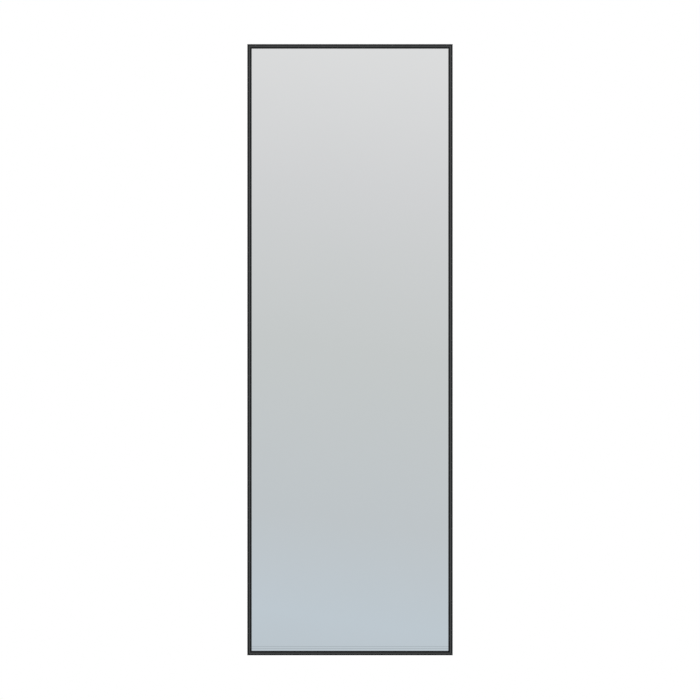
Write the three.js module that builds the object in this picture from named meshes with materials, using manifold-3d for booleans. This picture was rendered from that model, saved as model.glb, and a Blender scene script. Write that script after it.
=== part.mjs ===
// A pull-out mirror for the inside of a closet. A tall framed leaf hangs on an upright swivel, and
// the swivel is riveted to a full-extension ball slide that screws to the closet's side wall.
// Pulled out by its whole slide, the leaf swings a quarter turn to face whoever stands in front.
//
// Millimetres. +X is the way the leaf pulls out, +Y points into the closet's side wall, +Z is up.
// The origin is the middle of the slide's back, on the wall's surface, halfway up the leaf.

import * as THREE from "three";
import { mergeVertices } from "three/addons/utils/BufferGeometryUtils.js";
import Module from "manifold-3d";

const wasm = await Module();
wasm.setup();

// Driving dimensions: the leaf, a glass pane in an extruded frame
const LEAF_WIDTH = 336;
const LEAF_HEIGHT = 1000;
const FRAME_FACE = 7; // how wide the frame shows round the glass
const FRAME_WALL = 1.5;
const FRAME_ROUND = 1.2; // outer corners of the section
const LIP_ROUND = 0.5; // tips of the section's three lips
const CHAMBER_DEPTH = 5.6; // the rear channel, which holds corner keys and cross member
const GLASS_THICKNESS = 4;
const GLASS_ARRIS = 0.3; // the ground edge of the glass
const FILM_THICKNESS = 0.3;
const BOARD_THICKNESS = 3;
const PANE_PLAY = 1; // round the pane, inside the frame

// Driving dimensions: the slide, three nested rails of bent sheet on two sets of balls
const RAIL_LENGTH = 300;
const RAIL_HEIGHT = 45.4;
const RAIL_SHEET = 1.2;
const RAIL_BEND = 1;
const RAIL_LIP = 2.6; // how far a lip reaches past the middle of its groove
const BALL_DIAMETER = 4.76;
const BALL_GAP = 0.15;
const BALL_SHOULDER = 0.57; // from a ball's side to the middle of the web beside it
const GROOVE_FLAT = 0.5; // between the two grooves of the middle rail
const RETAINER_SHEET = 0.6;
const WEB_GAP = 0.3; // between neighbouring webs

// Driving dimensions: the swivel, two eared brackets on one upright bolt
const PIVOT_INSET = 26; // from the leaf's front edge to the swivel's axis
const PIVOT_DIAMETER = 8;
const BRACKET_SHEET = 3;
const BRACKET_BEND = 3;
const EAR_RADIUS = 8;
const LEAF_BRACKET_HEIGHT = 84;
const WASHER_THICKNESS = 1;

// Clearances
const SEAT_GAP = 0.3; // a piece and the seat that holds it
const RUBBING_GAP = 0.1; // a friction washer and its two faces
const PASSING_GAP = 1; // pieces that swing past one another
const MITRE_GAP = 0.1;
const HOLE_PLAY = 0.3; // all round a fastener
const OVERRUN = 1; // how far a cutting tool runs past what it cuts

// Facets
const FACET_SAG = 0.06; // how far a facet of a rounded corner may fall short of its arc
const ROUND_STEPS = 24; // round the pivot and its washers
const HOLE_STEPS = 12; // round a small fastener and its hole

const X = new THREE.Vector3(1, 0, 0);
const Y = new THREE.Vector3(0, 1, 0);
const Z = new THREE.Vector3(0, 0, 1);

// Corners [a, b, radius] to points, each corner rounded as far as its two sides leave room. A
// corner that falls on the one before it is dropped.
function rounded(listed) {
  const corners = listed.filter(([a, b], i) => a !== listed.at(i - 1)[0] || b !== listed.at(i - 1)[1]);
  const at = corners.map(([a, b]) => new THREE.Vector2(a, b));
  const count = at.length;
  const next = (i) => (i + 1) % count;
  const previous = (i) => (i + count - 1) % count;
  const way = at.map((p, i) => at[next(i)].clone().sub(p).normalize());
  const side = at.map((p, i) => at[next(i)].distanceTo(p));
  const turn = at.map((_, i) => {
    const before = way[previous(i)];
    return Math.atan2(before.cross(way[i]), before.dot(way[i]));
  });
  const wanted = corners.map(([, , r = 0], i) => r * Math.tan(Math.abs(turn[i]) / 2));
  const share = side.map((length, i) => Math.min(1, length / (wanted[i] + wanted[next(i)] || length)));
  const points = [];
  at.forEach((corner, i) => {
    const run = wanted[i] * Math.min(share[i], share[previous(i)]);
    if (run === 0) {
      points.push(corner);
      return;
    }
    const radius = run / Math.tan(Math.abs(turn[i]) / 2);
    const start = corner.clone().addScaledVector(way[previous(i)], -run);
    const inward = new THREE.Vector2(-way[previous(i)].y, way[previous(i)].x);
    const centre = start.clone().addScaledVector(inward, Math.sign(turn[i]) * radius);
    const largest = 2 * Math.acos(Math.max(1 - FACET_SAG / radius, 0));
    const steps = Math.ceil(Math.abs(turn[i]) / largest);
    for (let step = 0; step <= steps; step += 1) {
      points.push(start.clone().rotateAround(centre, (turn[i] * step) / steps));
    }
  });
  return points;
}

// The outline of bent sheet: a strip of one thickness along corners [a, b, bend radius], where a
// radius is that of the sheet's middle.
function bentSheet(line, thickness) {
  const at = line.map(([a, b]) => new THREE.Vector2(a, b));
  const way = at.slice(1).map((p, i) => p.clone().sub(at[i]).normalize());
  const offset = (distance) =>
    line.map(([, , radius = 0], i) => {
      const before = way[Math.max(i - 1, 0)];
      const after = way[Math.min(i, way.length - 1)];
      const middle = new THREE.Vector2(-before.y - after.y, before.x + after.x);
      const reach = (distance * 2) / middle.lengthSq();
      const corner = at[i].clone().addScaledVector(middle, reach);
      const bend = radius ? Math.max(radius - Math.sign(before.cross(after)) * distance, 0) : 0;
      return [corner.x, corner.y, bend];
    });
  return rounded([...offset(thickness / 2), ...offset(-thickness / 2).reverse()]);
}

// An outline carried along one axis, between two places on it. The outline's coordinates are those
// of the other two axes, in the order X, Y, Z.
function prism(axis, outline, from, to) {
  const drawn = axis === "y" ? outline.map((p) => new THREE.Vector2(p.x, -p.y)) : outline;
  const shape = new THREE.Shape(drawn);
  const made = new THREE.ExtrudeGeometry(shape, { depth: to - from, bevelEnabled: false });
  const basis = {
    x: [Y, Z, X],
    y: [X, Z.clone().negate(), Y],
    z: [X, Y, Z],
  }[axis];
  made.applyMatrix4(new THREE.Matrix4().makeBasis(...basis));
  const along = { x: X, y: Y, z: Z }[axis];
  return solid(made.translate(...along.clone().multiplyScalar(from).toArray()));
}

// A profile [radius, height] turned round an axis that stands on the point given.
function turned(axis, profile, place, steps) {
  const made = new THREE.LatheGeometry(
    profile.map(([radius, height]) => new THREE.Vector2(radius, height)),
    steps,
  );
  if (axis === "z") made.rotateX(Math.PI / 2);
  return solid(made.translate(...place));
}

// A plain round bar between two heights, for cutting holes.
function bar(axis, radius, from, to, [x, y, z], steps = HOLE_STEPS) {
  const profile = [
    [0, from],
    [radius, from],
    [radius, to],
    [0, to],
  ];
  return turned(axis, profile, axis === "z" ? [x, y, 0] : [x, 0, z], steps);
}

// A slot with round ends, long along X, cut through in Y.
function slot(length, height, from, to, x, z) {
  const half = length / 2;
  const radius = height / 2;
  const outline = rounded([
    [x - half, z - radius, radius],
    [x + half, z - radius, radius],
    [x + half, z + radius, radius],
    [x - half, z + radius, radius],
  ]);
  return prism("y", outline, from, to);
}

// A three.js geometry as a solid that can be cut and joined, and back again.
function solid(geometry) {
  const bare = new THREE.BufferGeometry();
  bare.setAttribute("position", geometry.getAttribute("position"));
  bare.setIndex(geometry.index);
  const welded = mergeVertices(bare);
  return new wasm.Manifold(
    new wasm.Mesh({
      numProp: 3,
      vertProperties: welded.getAttribute("position").array,
      triVerts: new Uint32Array(welded.index.array),
    }),
  );
}

function mesh(name, made, material) {
  const { vertProperties, triVerts } = made.getMesh();
  const geometry = new THREE.BufferGeometry();
  geometry.setAttribute("position", new THREE.BufferAttribute(vertProperties, 3));
  geometry.setIndex(new THREE.BufferAttribute(triVerts, 1));
  geometry.computeVertexNormals();
  const piece = new THREE.Mesh(geometry, material);
  piece.name = name;
  return piece;
}

function finish(color, roughness, metalness) {
  return new THREE.MeshStandardMaterial({ color, roughness, metalness });
}
const blackCoat = finish(0x383a3a, 0.6, 0.2);
const silvering = finish(0xc6cdd1, 0.03, 1);
const safetyFilm = finish(0x9aa0a3, 0.5, 0);
const facedBoard = finish(0x4c4d4e, 0.75, 0);
const zinc = finish(0xb6babd, 0.35, 1);
const blackOxide = finish(0x2c2d2e, 0.45, 0.8);
const castZinc = finish(0x8c8f91, 0.5, 0.9);
const nylon = finish(0xe6e4dc, 0.5, 0);
const blackPlastic = finish(0x26272a, 0.55, 0);

// The slide's section. Every ball runs between two grooves, and each groove is a shallow V rounded
// to the ball, so the rails take their places from the balls.
const GROOVE_SLOPE = THREE.MathUtils.degToRad(25);
const rise = Math.tan(GROOVE_SLOPE);
const ballRadius = BALL_DIAMETER / 2;
const grooveRadius = ballRadius + BALL_GAP + RAIL_SHEET / 2;
const grooveDepth = grooveRadius / Math.cos(GROOVE_SLOPE);
const grooveHalf = ballRadius + BALL_SHOULDER;
const rowStep = 2 * grooveRadius * Math.sin(GROOVE_SLOPE) + GROOVE_FLAT;

const outerWebY = -RAIL_SHEET / 2;
const outerRetainerY = outerWebY - RAIL_SHEET / 2 - WEB_GAP - RETAINER_SHEET / 2;
const middleWebY = outerRetainerY - RETAINER_SHEET / 2 - WEB_GAP - RAIL_SHEET / 2;
const innerRetainerY = middleWebY - RAIL_SHEET / 2 - WEB_GAP - RETAINER_SHEET / 2;
const outerBallY = middleWebY - grooveHalf;
const innerBallY = outerBallY - rowStep;
const innerWebY = innerBallY - grooveHalf;
const slideFaceY = innerWebY - RAIL_SHEET / 2;
const outerBallZ = RAIL_HEIGHT / 2 - RAIL_SHEET / 2 - grooveRadius;
const innerBallZ = outerBallZ - 2 * grooveDepth + rowStep * rise;

// Where the swivel stands, and how the leaf hangs in front of it. The cross member lies in the
// frame's rear channel, and the leaf's bracket lies on the cross member.
const pivotX = LEAF_WIDTH / 2 - PIVOT_INSET;
const pivotRadius = PIVOT_DIAMETER / 2;
const forkFaceY = slideFaceY - BRACKET_SHEET;
const axisY = forkFaceY - PASSING_GAP - EAR_RADIUS;
const leafBracketSeatY = axisY - EAR_RADIUS - PASSING_GAP - BRACKET_SHEET;
const slideFrontX = pivotX + EAR_RADIUS;
const slideRearX = slideFrontX - RAIL_LENGTH;

// Depths in the frame's section, counted back from the leaf's front face.
const glassFront = FRAME_WALL + SEAT_GAP;
const filmFront = glassFront + GLASS_THICKNESS;
const boardFront = filmFront + FILM_THICKNESS;
const middleLipFront = boardFront + BOARD_THICKNESS + SEAT_GAP;
const chamberFront = middleLipFront + FRAME_WALL;
const chamberBack = chamberFront + CHAMBER_DEPTH;
const frameDepth = chamberBack + FRAME_WALL;
const frameFrontY = leafBracketSeatY - (chamberBack - SEAT_GAP);
const frameRearY = frameFrontY + frameDepth;
const insertFrontY = frameFrontY + chamberFront + SEAT_GAP;
const insertBackY = frameFrontY + chamberBack - SEAT_GAP;

// Corner and cross-member screws: countersunk heads flush with the frame's rear face.
const SCREW_DIAMETER = 2.5;
const SCREW_HEAD_DIAMETER = 4.4;
const SCREW_HEAD_DEPTH = 1;
const SCREW_POINT = 0.6;
const SCREW_PLAY = 0.15;
const screwRadius = SCREW_DIAMETER / 2;
const screwHeadRadius = SCREW_HEAD_DIAMETER / 2;
const screwLength = frameRearY - insertFrontY;
const screwLine = (FRAME_WALL + FRAME_FACE) / 2; // in from the frame's outer edge

function screw([x, z]) {
  const profile = [
    [0, -screwLength],
    [screwRadius - SCREW_POINT, -screwLength],
    [screwRadius, SCREW_POINT - screwLength],
    [screwRadius, -SCREW_HEAD_DEPTH],
    [screwHeadRadius, 0],
    [0, 0],
  ];
  return turned("y", profile, [x, frameRearY, z], HOLE_STEPS);
}

// The countersunk hole through the frame's rear lip.
function countersink([x, z]) {
  const profile = [
    [0, -FRAME_WALL - OVERRUN],
    [screwRadius + SCREW_PLAY, -FRAME_WALL - OVERRUN],
    [screwRadius + SCREW_PLAY, -SCREW_HEAD_DEPTH],
    [screwHeadRadius + SCREW_PLAY, 0],
    [screwHeadRadius + SCREW_PLAY, OVERRUN],
    [0, OVERRUN],
  ];
  return turned("y", profile, [x, frameRearY, z], HOLE_STEPS);
}

// The plain hole through what lies behind the lip.
const screwHole = ([x, z]) =>
  bar("y", screwRadius + SCREW_PLAY, insertFrontY - OVERRUN, frameRearY, [x, 0, z]);

// Places [x, z] of the screws: two at each corner, one for each leg of its key, and two at each end
// of the cross member.
const KEY_LEG = 34;
const KEY_SCREW_INSET = 20; // from the frame's outer corner
const CROSS_MARGIN = 13; // above and below the leaf's bracket
const CROSS_SHEET = 2;
const CROSS_BEND = 2.4;
const CROSS_SCREW_INSET = 14; // from the cross member's edge
const crossHeight = LEAF_BRACKET_HEIGHT + 2 * CROSS_MARGIN;
const cornerScrews = [];
for (const [sideX, sideZ] of [
  [1, 1],
  [-1, 1],
  [1, -1],
  [-1, -1],
]) {
  const cornerX = LEAF_WIDTH / 2;
  const cornerZ = LEAF_HEIGHT / 2;
  cornerScrews.push([sideX * (cornerX - KEY_SCREW_INSET), sideZ * (cornerZ - screwLine)]);
  cornerScrews.push([sideX * (cornerX - screwLine), sideZ * (cornerZ - KEY_SCREW_INSET)]);
}
const crossScrewX = LEAF_WIDTH / 2 - screwLine;
const crossScrewZ = crossHeight / 2 - CROSS_SCREW_INSET;
const crossScrews = [
  [crossScrewX, crossScrewZ],
  [crossScrewX, -crossScrewZ],
  [-crossScrewX, crossScrewZ],
  [-crossScrewX, -crossScrewZ],
];

// A rivet through two sheets, with a low domed head on each side. Its grip starts at nearY.
const RIVET_DIAMETER = 4;
const RIVET_HEAD_DIAMETER = 7.4;
const RIVET_HEAD_HEIGHT = 1.5;
const RIVET_RIM = 0.4;
function rivet([x, z], nearY, grip) {
  const shank = RIVET_DIAMETER / 2;
  const head = RIVET_HEAD_DIAMETER / 2;
  const shoulder = (head + shank) / 2;
  const crown = RIVET_HEAD_HEIGHT - RIVET_RIM / 2;
  const profile = [
    [0, -RIVET_HEAD_HEIGHT],
    [shoulder, -crown],
    [head, -RIVET_RIM],
    [head, 0],
    [shank, 0],
    [shank, grip],
    [head, grip],
    [head, grip + RIVET_RIM],
    [shoulder, grip + crown],
    [0, grip + RIVET_HEAD_HEIGHT],
  ];
  return turned("y", profile, [x, nearY, z], HOLE_STEPS);
}
const rivetHole = ([x, z], from, to) =>
  bar("y", RIVET_DIAMETER / 2 + HOLE_PLAY, from - OVERRUN, to + OVERRUN, [x, 0, z]);

// A frame bar: a three-lipped section carried along the leaf's edge, with its ends mitred. The
// section's first coordinate is the depth in from the leaf's edge, and its second the depth back.
const frameSection = rounded([
  [0, 0, FRAME_ROUND],
  [FRAME_FACE, 0, LIP_ROUND],
  [FRAME_FACE, FRAME_WALL, LIP_ROUND],
  [FRAME_WALL, FRAME_WALL],
  [FRAME_WALL, middleLipFront],
  [FRAME_FACE, middleLipFront],
  [FRAME_FACE, chamberFront],
  [FRAME_WALL, chamberFront],
  [FRAME_WALL, chamberBack],
  [FRAME_FACE, chamberBack],
  [FRAME_FACE, frameDepth, LIP_ROUND],
  [0, frameDepth, FRAME_ROUND],
]);

function frameBar(name, edgeLength, edgeOffset, turn) {
  const made = new THREE.ExtrudeGeometry(new THREE.Shape(frameSection), { depth: 1, bevelEnabled: false });
  const place = made.getAttribute("position");
  for (let i = 0; i < place.count; i += 1) {
    const inward = place.getX(i);
    const length = edgeLength - 2 * (inward + MITRE_GAP);
    const along = (0.5 - place.getZ(i)) * length;
    place.setXYZ(i, along, frameFrontY + place.getY(i), inward - edgeOffset);
  }
  made.rotateY(turn);
  const inThisBar = ([x, z]) => {
    const height = new THREE.Vector3(x, 0, z).applyAxisAngle(Y, -turn).z;
    return Math.abs(height + edgeOffset - screwLine) < FRAME_WALL;
  };
  const holes = [...cornerScrews, ...crossScrews].filter(inThisBar).map(countersink);
  return mesh(name, solid(made).subtract(wasm.Manifold.union(holes)), blackCoat);
}

// The leaf's frame, keys and screws.
const halfWidth = LEAF_WIDTH / 2;
const halfHeight = LEAF_HEIGHT / 2;
const QUARTER = Math.PI / 2;
const leaf = new THREE.Group();
leaf.add(frameBar("frame_bottom_rail", LEAF_WIDTH, halfHeight, 0));
leaf.add(frameBar("frame_rear_stile", LEAF_HEIGHT, halfWidth, QUARTER));
leaf.add(frameBar("frame_top_rail", LEAF_WIDTH, halfHeight, 2 * QUARTER));
leaf.add(frameBar("frame_front_stile", LEAF_HEIGHT, halfWidth, -QUARTER));

// A corner key: a die-cast L that fills the rear channel of two frame bars and pins their mitre.
function cornerKey(name, sideX, sideZ) {
  const outer = FRAME_WALL + SEAT_GAP;
  const inner = FRAME_FACE - LIP_ROUND / 2;
  const outline = rounded(
    [
      [outer, outer, LIP_ROUND],
      [KEY_LEG, outer, LIP_ROUND],
      [KEY_LEG, inner, LIP_ROUND],
      [inner, inner],
      [inner, KEY_LEG, LIP_ROUND],
      [outer, KEY_LEG, LIP_ROUND],
    ].map(([a, b, radius]) => [sideX * (halfWidth - a), sideZ * (halfHeight - b), radius]),
  );
  const holes = cornerScrews.filter(([x, z]) => x * sideX > 0 && z * sideZ > 0).map(screwHole);
  const key = prism("y", outline, insertFrontY, insertBackY);
  return mesh(name, key.subtract(wasm.Manifold.union(holes)), castZinc);
}
leaf.add(cornerKey("corner_key_top_front", 1, 1));
leaf.add(cornerKey("corner_key_top_rear", -1, 1));
leaf.add(cornerKey("corner_key_bottom_front", 1, -1));
leaf.add(cornerKey("corner_key_bottom_rear", -1, -1));
cornerScrews.forEach((place, i) => leaf.add(mesh(`corner_screw_${i + 1}`, screw(place), blackOxide)));
crossScrews.forEach((place, i) => leaf.add(mesh(`cross_screw_${i + 1}`, screw(place), blackOxide)));

// The pane: silvered glass with a ground edge, its safety film, and the board behind them.
const paneHalfWidth = halfWidth - FRAME_WALL - PANE_PLAY;
const paneHalfHeight = halfHeight - FRAME_WALL - PANE_PLAY;
function pane(name, front, thickness, arris, material) {
  const corners = [
    [-paneHalfWidth, -paneHalfHeight],
    [paneHalfWidth, -paneHalfHeight],
    [paneHalfWidth, paneHalfHeight],
    [-paneHalfWidth, paneHalfHeight],
  ].map(([x, z]) => new THREE.Vector2(x, z));
  const made = new THREE.ExtrudeGeometry(new THREE.Shape(corners), {
    depth: thickness - 2 * arris,
    bevelEnabled: arris > 0,
    bevelThickness: arris,
    bevelSize: arris,
    bevelOffset: -arris,
    bevelSegments: 1,
  });
  made.rotateX(QUARTER).translate(0, frameFrontY + front + thickness - arris, 0);
  return mesh(name, solid(made), material);
}
leaf.add(pane("mirror_glass", glassFront, GLASS_THICKNESS, GLASS_ARRIS, silvering));
leaf.add(pane("safety_film", filmFront, FILM_THICKNESS, 0, safetyFilm));
leaf.add(pane("back_board", boardFront, BOARD_THICKNESS, 0, facedBoard));

// The leaf's bracket, and the cross member that carries it from stile to stile.
const LEAF_BRACKET_TAIL = 44; // from the swivel's axis back along the cross member
const LEAF_RIVET_EDGE = 10; // from the bracket's rear end to its rear rivets
const LEAF_RIVET_PITCH = 18; // from those on to its front rivets
const LEAF_RIVET_HEIGHT = 26; // above and below the middle
const leafBracketHalf = LEAF_BRACKET_HEIGHT / 2;
const leafBracketRearX = pivotX - LEAF_BRACKET_TAIL;
const leafBracketFrontX = halfWidth - FRAME_FACE - PASSING_GAP;
const rearLeafRivetX = leafBracketRearX + LEAF_RIVET_EDGE;
const leafRivets = [rearLeafRivetX, rearLeafRivetX + LEAF_RIVET_PITCH].flatMap((x) => [
  [x, LEAF_RIVET_HEIGHT],
  [x, -LEAF_RIVET_HEIGHT],
]);

// Slots lighten the cross member from the bracket's tail to the rear stile.
const CROSS_SLOTS = 3;
const CROSS_SLOT_HEIGHT = 40;
const CROSS_SLOT_WEB = 18; // left standing beside each slot
const slotPitch = (leafBracketRearX - (FRAME_FACE - halfWidth) - CROSS_SLOT_WEB) / CROSS_SLOTS;
function crossMember() {
  const endX = halfWidth - FRAME_WALL - SEAT_GAP;
  const webY = insertBackY - CROSS_SHEET / 2;
  const flangeZ = crossHeight / 2 - CROSS_SHEET / 2;
  const section = bentSheet(
    [
      [insertFrontY, -flangeZ],
      [webY, -flangeZ, CROSS_BEND],
      [webY, flangeZ, CROSS_BEND],
      [insertFrontY, flangeZ],
    ],
    CROSS_SHEET,
  );
  const near = insertBackY - CROSS_SHEET;
  const cuts = [
    ...leafRivets.map((place) => rivetHole(place, near, insertBackY)),
    ...crossScrews.map(screwHole),
  ];
  for (let i = 0; i < CROSS_SLOTS; i += 1) {
    const slotX = FRAME_FACE - halfWidth + CROSS_SLOT_WEB / 2 + (i + 0.5) * slotPitch;
    const slotLength = slotPitch - CROSS_SLOT_WEB;
    cuts.push(slot(slotLength, CROSS_SLOT_HEIGHT, near - OVERRUN, insertBackY + OVERRUN, slotX, 0));
  }
  return mesh("cross_member", prism("x", section, -endX, endX).subtract(wasm.Manifold.union(cuts)), zinc);
}
leaf.add(crossMember());

// An eared bracket: one sheet bent to a U. Its web lies on what carries it at seatY, and its two
// ears reach the way of side (+1 towards the wall) round the swivel's bolt. Behind the axis an ear
// flares out to its root.
const EAR_ROOT = 22; // from the swivel's axis back to where the root ends
function earedBracket({ seatY, side, half, rearX, frontX, face, holes }) {
  const middleY = seatY + (side * BRACKET_SHEET) / 2;
  const webFaceY = seatY + side * BRACKET_SHEET;
  const tipY = axisY + side * EAR_RADIUS;
  const earZ = half - BRACKET_SHEET / 2;
  const section = bentSheet(
    [
      [tipY, -earZ],
      [middleY, -earZ, BRACKET_BEND],
      [middleY, earZ, BRACKET_BEND],
      [tipY, earZ],
    ],
    BRACKET_SHEET,
  );
  const fromAbove = rounded([
    [rearX, seatY],
    [frontX, seatY],
    [frontX, webFaceY],
    [pivotX + EAR_RADIUS, webFaceY],
    [pivotX + EAR_RADIUS, tipY, EAR_RADIUS],
    [pivotX - EAR_RADIUS, tipY, EAR_RADIUS],
    [pivotX - EAR_RADIUS, axisY],
    [pivotX - EAR_ROOT, webFaceY, EAR_RADIUS],
    [rearX, webFaceY],
  ]);
  const reach = Math.abs(tipY - seatY) + OVERRUN;
  const pivotHole = bar(
    "z",
    pivotRadius + HOLE_PLAY,
    -half - OVERRUN,
    half + OVERRUN,
    [pivotX, axisY, 0],
    ROUND_STEPS,
  );
  return prism("x", section, rearX, frontX)
    .intersect(prism("z", fromAbove, -half - OVERRUN, half + OVERRUN))
    .intersect(prism("y", face, seatY - reach, seatY + reach))
    .subtract(wasm.Manifold.union([pivotHole, ...holes]));
}

const BRACKET_CORNER = 6;
const leafBracket = earedBracket({
  seatY: leafBracketSeatY,
  side: 1,
  half: leafBracketHalf,
  rearX: leafBracketRearX,
  frontX: leafBracketFrontX,
  face: rounded([
    [leafBracketRearX, -leafBracketHalf, BRACKET_CORNER],
    [leafBracketFrontX, -leafBracketHalf],
    [leafBracketFrontX, leafBracketHalf],
    [leafBracketRearX, leafBracketHalf, BRACKET_CORNER],
  ]),
  holes: leafRivets.map((place) => rivetHole(place, leafBracketSeatY, leafBracketSeatY + BRACKET_SHEET)),
});
leaf.add(mesh("leaf_bracket", leafBracket, blackCoat));
leafRivets.forEach((place, i) => {
  const near = leafBracketSeatY - CROSS_SHEET;
  leaf.add(mesh(`leaf_rivet_${i + 1}`, rivet(place, near, CROSS_SHEET + BRACKET_SHEET), zinc));
});

// The carriage: the fork on the slide's inner rail, and the bolt that both brackets turn on.
const FORK_LENGTH = 112;
const FORK_TALL = 34; // the part of the fork that is as tall as its ears
const FORK_TAPER = 26; // along the slide, from the tall part down to the tail
const FORK_TAIL_HEIGHT = 34;
const FORK_RIVET_EDGE = 12; // from the fork's rear end to its rear rivets
const FORK_RIVET_SETBACK = 40; // from the swivel's axis back to its front rivets
const forkRivetZ = (innerBallZ - grooveDepth) / 2;
const washerZ = leafBracketHalf + RUBBING_GAP;
const forkInsideZ = washerZ + WASHER_THICKNESS + RUBBING_GAP;
const forkHalf = forkInsideZ + BRACKET_SHEET;
const forkRearX = slideFrontX - FORK_LENGTH;
const forkRivets = [forkRearX + FORK_RIVET_EDGE, pivotX - FORK_RIVET_SETBACK].flatMap((x) => [
  [x, forkRivetZ],
  [x, -forkRivetZ],
]);
const tailHalf = FORK_TAIL_HEIGHT / 2;
const tallRearX = slideFrontX - FORK_TALL;
const fork = earedBracket({
  seatY: slideFaceY,
  side: -1,
  half: forkHalf,
  rearX: forkRearX,
  frontX: slideFrontX,
  face: rounded([
    [forkRearX, -tailHalf, BRACKET_CORNER],
    [tallRearX - FORK_TAPER, -tailHalf, FORK_TAPER],
    [tallRearX, -forkHalf, BRACKET_CORNER],
    [slideFrontX, -forkHalf],
    [slideFrontX, forkHalf],
    [tallRearX, forkHalf, BRACKET_CORNER],
    [tallRearX - FORK_TAPER, tailHalf, FORK_TAPER],
    [forkRearX, tailHalf, BRACKET_CORNER],
  ]),
  holes: forkRivets.map((place) => rivetHole(place, forkFaceY, slideFaceY)),
});
const carriage = new THREE.Group();
carriage.add(mesh("swivel_fork", fork, blackCoat));
forkRivets.forEach((place, i) => {
  carriage.add(mesh(`fork_rivet_${i + 1}`, rivet(place, forkFaceY, BRACKET_SHEET + RAIL_SHEET), zinc));
});

// Friction washers between the ears, a disc spring under the nut to keep them pressed, and the bolt.
const WASHER_DIAMETER = 15;
const SPRING_DIAMETER = 15;
const SPRING_THICKNESS = 0.8;
const SPRING_CONE = 0.7;
const BOLT_HEAD_DIAMETER = 13;
const BOLT_HEAD_HEIGHT = 5;
const BOLT_HEAD_CHAMFER = 0.7;
const BOLT_SOCKET_WIDTH = 5;
const BOLT_SOCKET_DEPTH = 2.6;
const BOLT_PROTRUSION = 2; // past the nut
const NUT_WIDTH = 13;
const NUT_HEIGHT = 6.5;
const NUT_CHAMFER = 0.6;
const NUT_COLLAR_HEIGHT = 1.5;
const NUT_COLLAR_DIAMETER = 11;
const boreRadius = pivotRadius + HOLE_PLAY;

// A washer, and where cone is given its rim stands that much higher than its bore.
function ring(outerRadius, from, thickness, cone = 0) {
  const profile = [
    [boreRadius, from],
    [outerRadius, from + cone],
    [outerRadius, from + thickness + cone],
    [boreRadius, from + thickness],
    [boreRadius, from],
  ];
  return turned("z", profile, [pivotX, axisY, 0], ROUND_STEPS);
}
const washerRadius = WASHER_DIAMETER / 2;
carriage.add(mesh("upper_friction_washer", ring(washerRadius, washerZ, WASHER_THICKNESS), nylon));
carriage.add(
  mesh("lower_friction_washer", ring(washerRadius, -washerZ - WASHER_THICKNESS, WASHER_THICKNESS), nylon),
);
const nutTop = -forkHalf - SPRING_THICKNESS - SPRING_CONE;
const nutBottom = nutTop - NUT_HEIGHT;
const collarBottom = nutBottom - NUT_COLLAR_HEIGHT;
const boltEnd = collarBottom - BOLT_PROTRUSION;
carriage.add(mesh("disc_spring", ring(SPRING_DIAMETER / 2, nutTop, SPRING_THICKNESS, SPRING_CONE), zinc));

function hexagon(width) {
  const corner = width / 2 / Math.cos(Math.PI / 6);
  return [0, 1, 2, 3, 4, 5].map((i) => {
    const angle = (i * Math.PI) / 3;
    return new THREE.Vector2(pivotX + corner * Math.cos(angle), axisY + corner * Math.sin(angle));
  });
}

// A lock nut: a hexagon with its corners turned down at both ends, and a collar for its insert.
const axisPlace = [pivotX, axisY, 0];
const nutCorner = NUT_WIDTH / 2 / Math.cos(Math.PI / 6);
const nutFlat = NUT_WIDTH / 2;
const nutTurning = [
  [0, nutBottom],
  [nutFlat, nutBottom],
  [nutCorner, nutBottom + NUT_CHAMFER],
  [nutCorner, nutTop - NUT_CHAMFER],
  [nutFlat, nutTop],
  [0, nutTop],
];
const nut = prism("z", hexagon(NUT_WIDTH), nutBottom, nutTop)
  .intersect(turned("z", nutTurning, axisPlace, ROUND_STEPS))
  .add(bar("z", NUT_COLLAR_DIAMETER / 2, collarBottom, nutTop, axisPlace, ROUND_STEPS))
  .subtract(bar("z", boreRadius, collarBottom - OVERRUN, nutTop + OVERRUN, axisPlace, ROUND_STEPS));
carriage.add(mesh("pivot_nut", nut, zinc));

const headRadius = BOLT_HEAD_DIAMETER / 2;
const headTop = forkHalf + BOLT_HEAD_HEIGHT;
const boltProfile = [
  [0, boltEnd],
  [pivotRadius - BOLT_HEAD_CHAMFER, boltEnd],
  [pivotRadius, boltEnd + BOLT_HEAD_CHAMFER],
  [pivotRadius, forkHalf],
  [headRadius, forkHalf],
  [headRadius, headTop - BOLT_HEAD_CHAMFER],
  [headRadius - BOLT_HEAD_CHAMFER, headTop],
  [0, headTop],
];
const socket = prism("z", hexagon(BOLT_SOCKET_WIDTH), headTop - BOLT_SOCKET_DEPTH, headTop + OVERRUN);
const bolt = turned("z", boltProfile, [pivotX, axisY, 0], ROUND_STEPS).subtract(socket);
carriage.add(mesh("pivot_bolt", bolt, zinc));

// The rails. A rail's section is one bent strip, the same above and below its web: it climbs the
// web, turns into its first groove, and ends in a lip. Mounting screws go through the outer rail's
// web, and the rails in front of it have windows that let a screwdriver through.
const MOUNT_HOLE_DIAMETER = 4.6;
const MOUNT_HOLE_INSETS = [22, 86]; // from each end of the outer rail
const MOUNT_SLOT_INSET = 54; // and the slots that let the rail be shifted
const MOUNT_SLOT_LENGTH = 10;
const WINDOW_LENGTH = 18;
const WINDOW_HEIGHT = 9;
const LUG_DIAMETER = 3.6;
const LUG_TIP_DIAMETER = 2.4;
const LUG_HEIGHT = 8; // above and below the middle
const LUG_INSET = 2.4; // from the rail's front end
const BUMPER_LENGTH = 8;
const BUMPER_HEIGHT = 20;
const BUMPER_DEPTH = 9;
const BUMPER_ROUND = 2;
const BUMPER_PEG_DIAMETER = 5;
const mountHoles = MOUNT_HOLE_INSETS.flatMap((inset) => [slideRearX + inset, slideFrontX - inset]);
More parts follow.
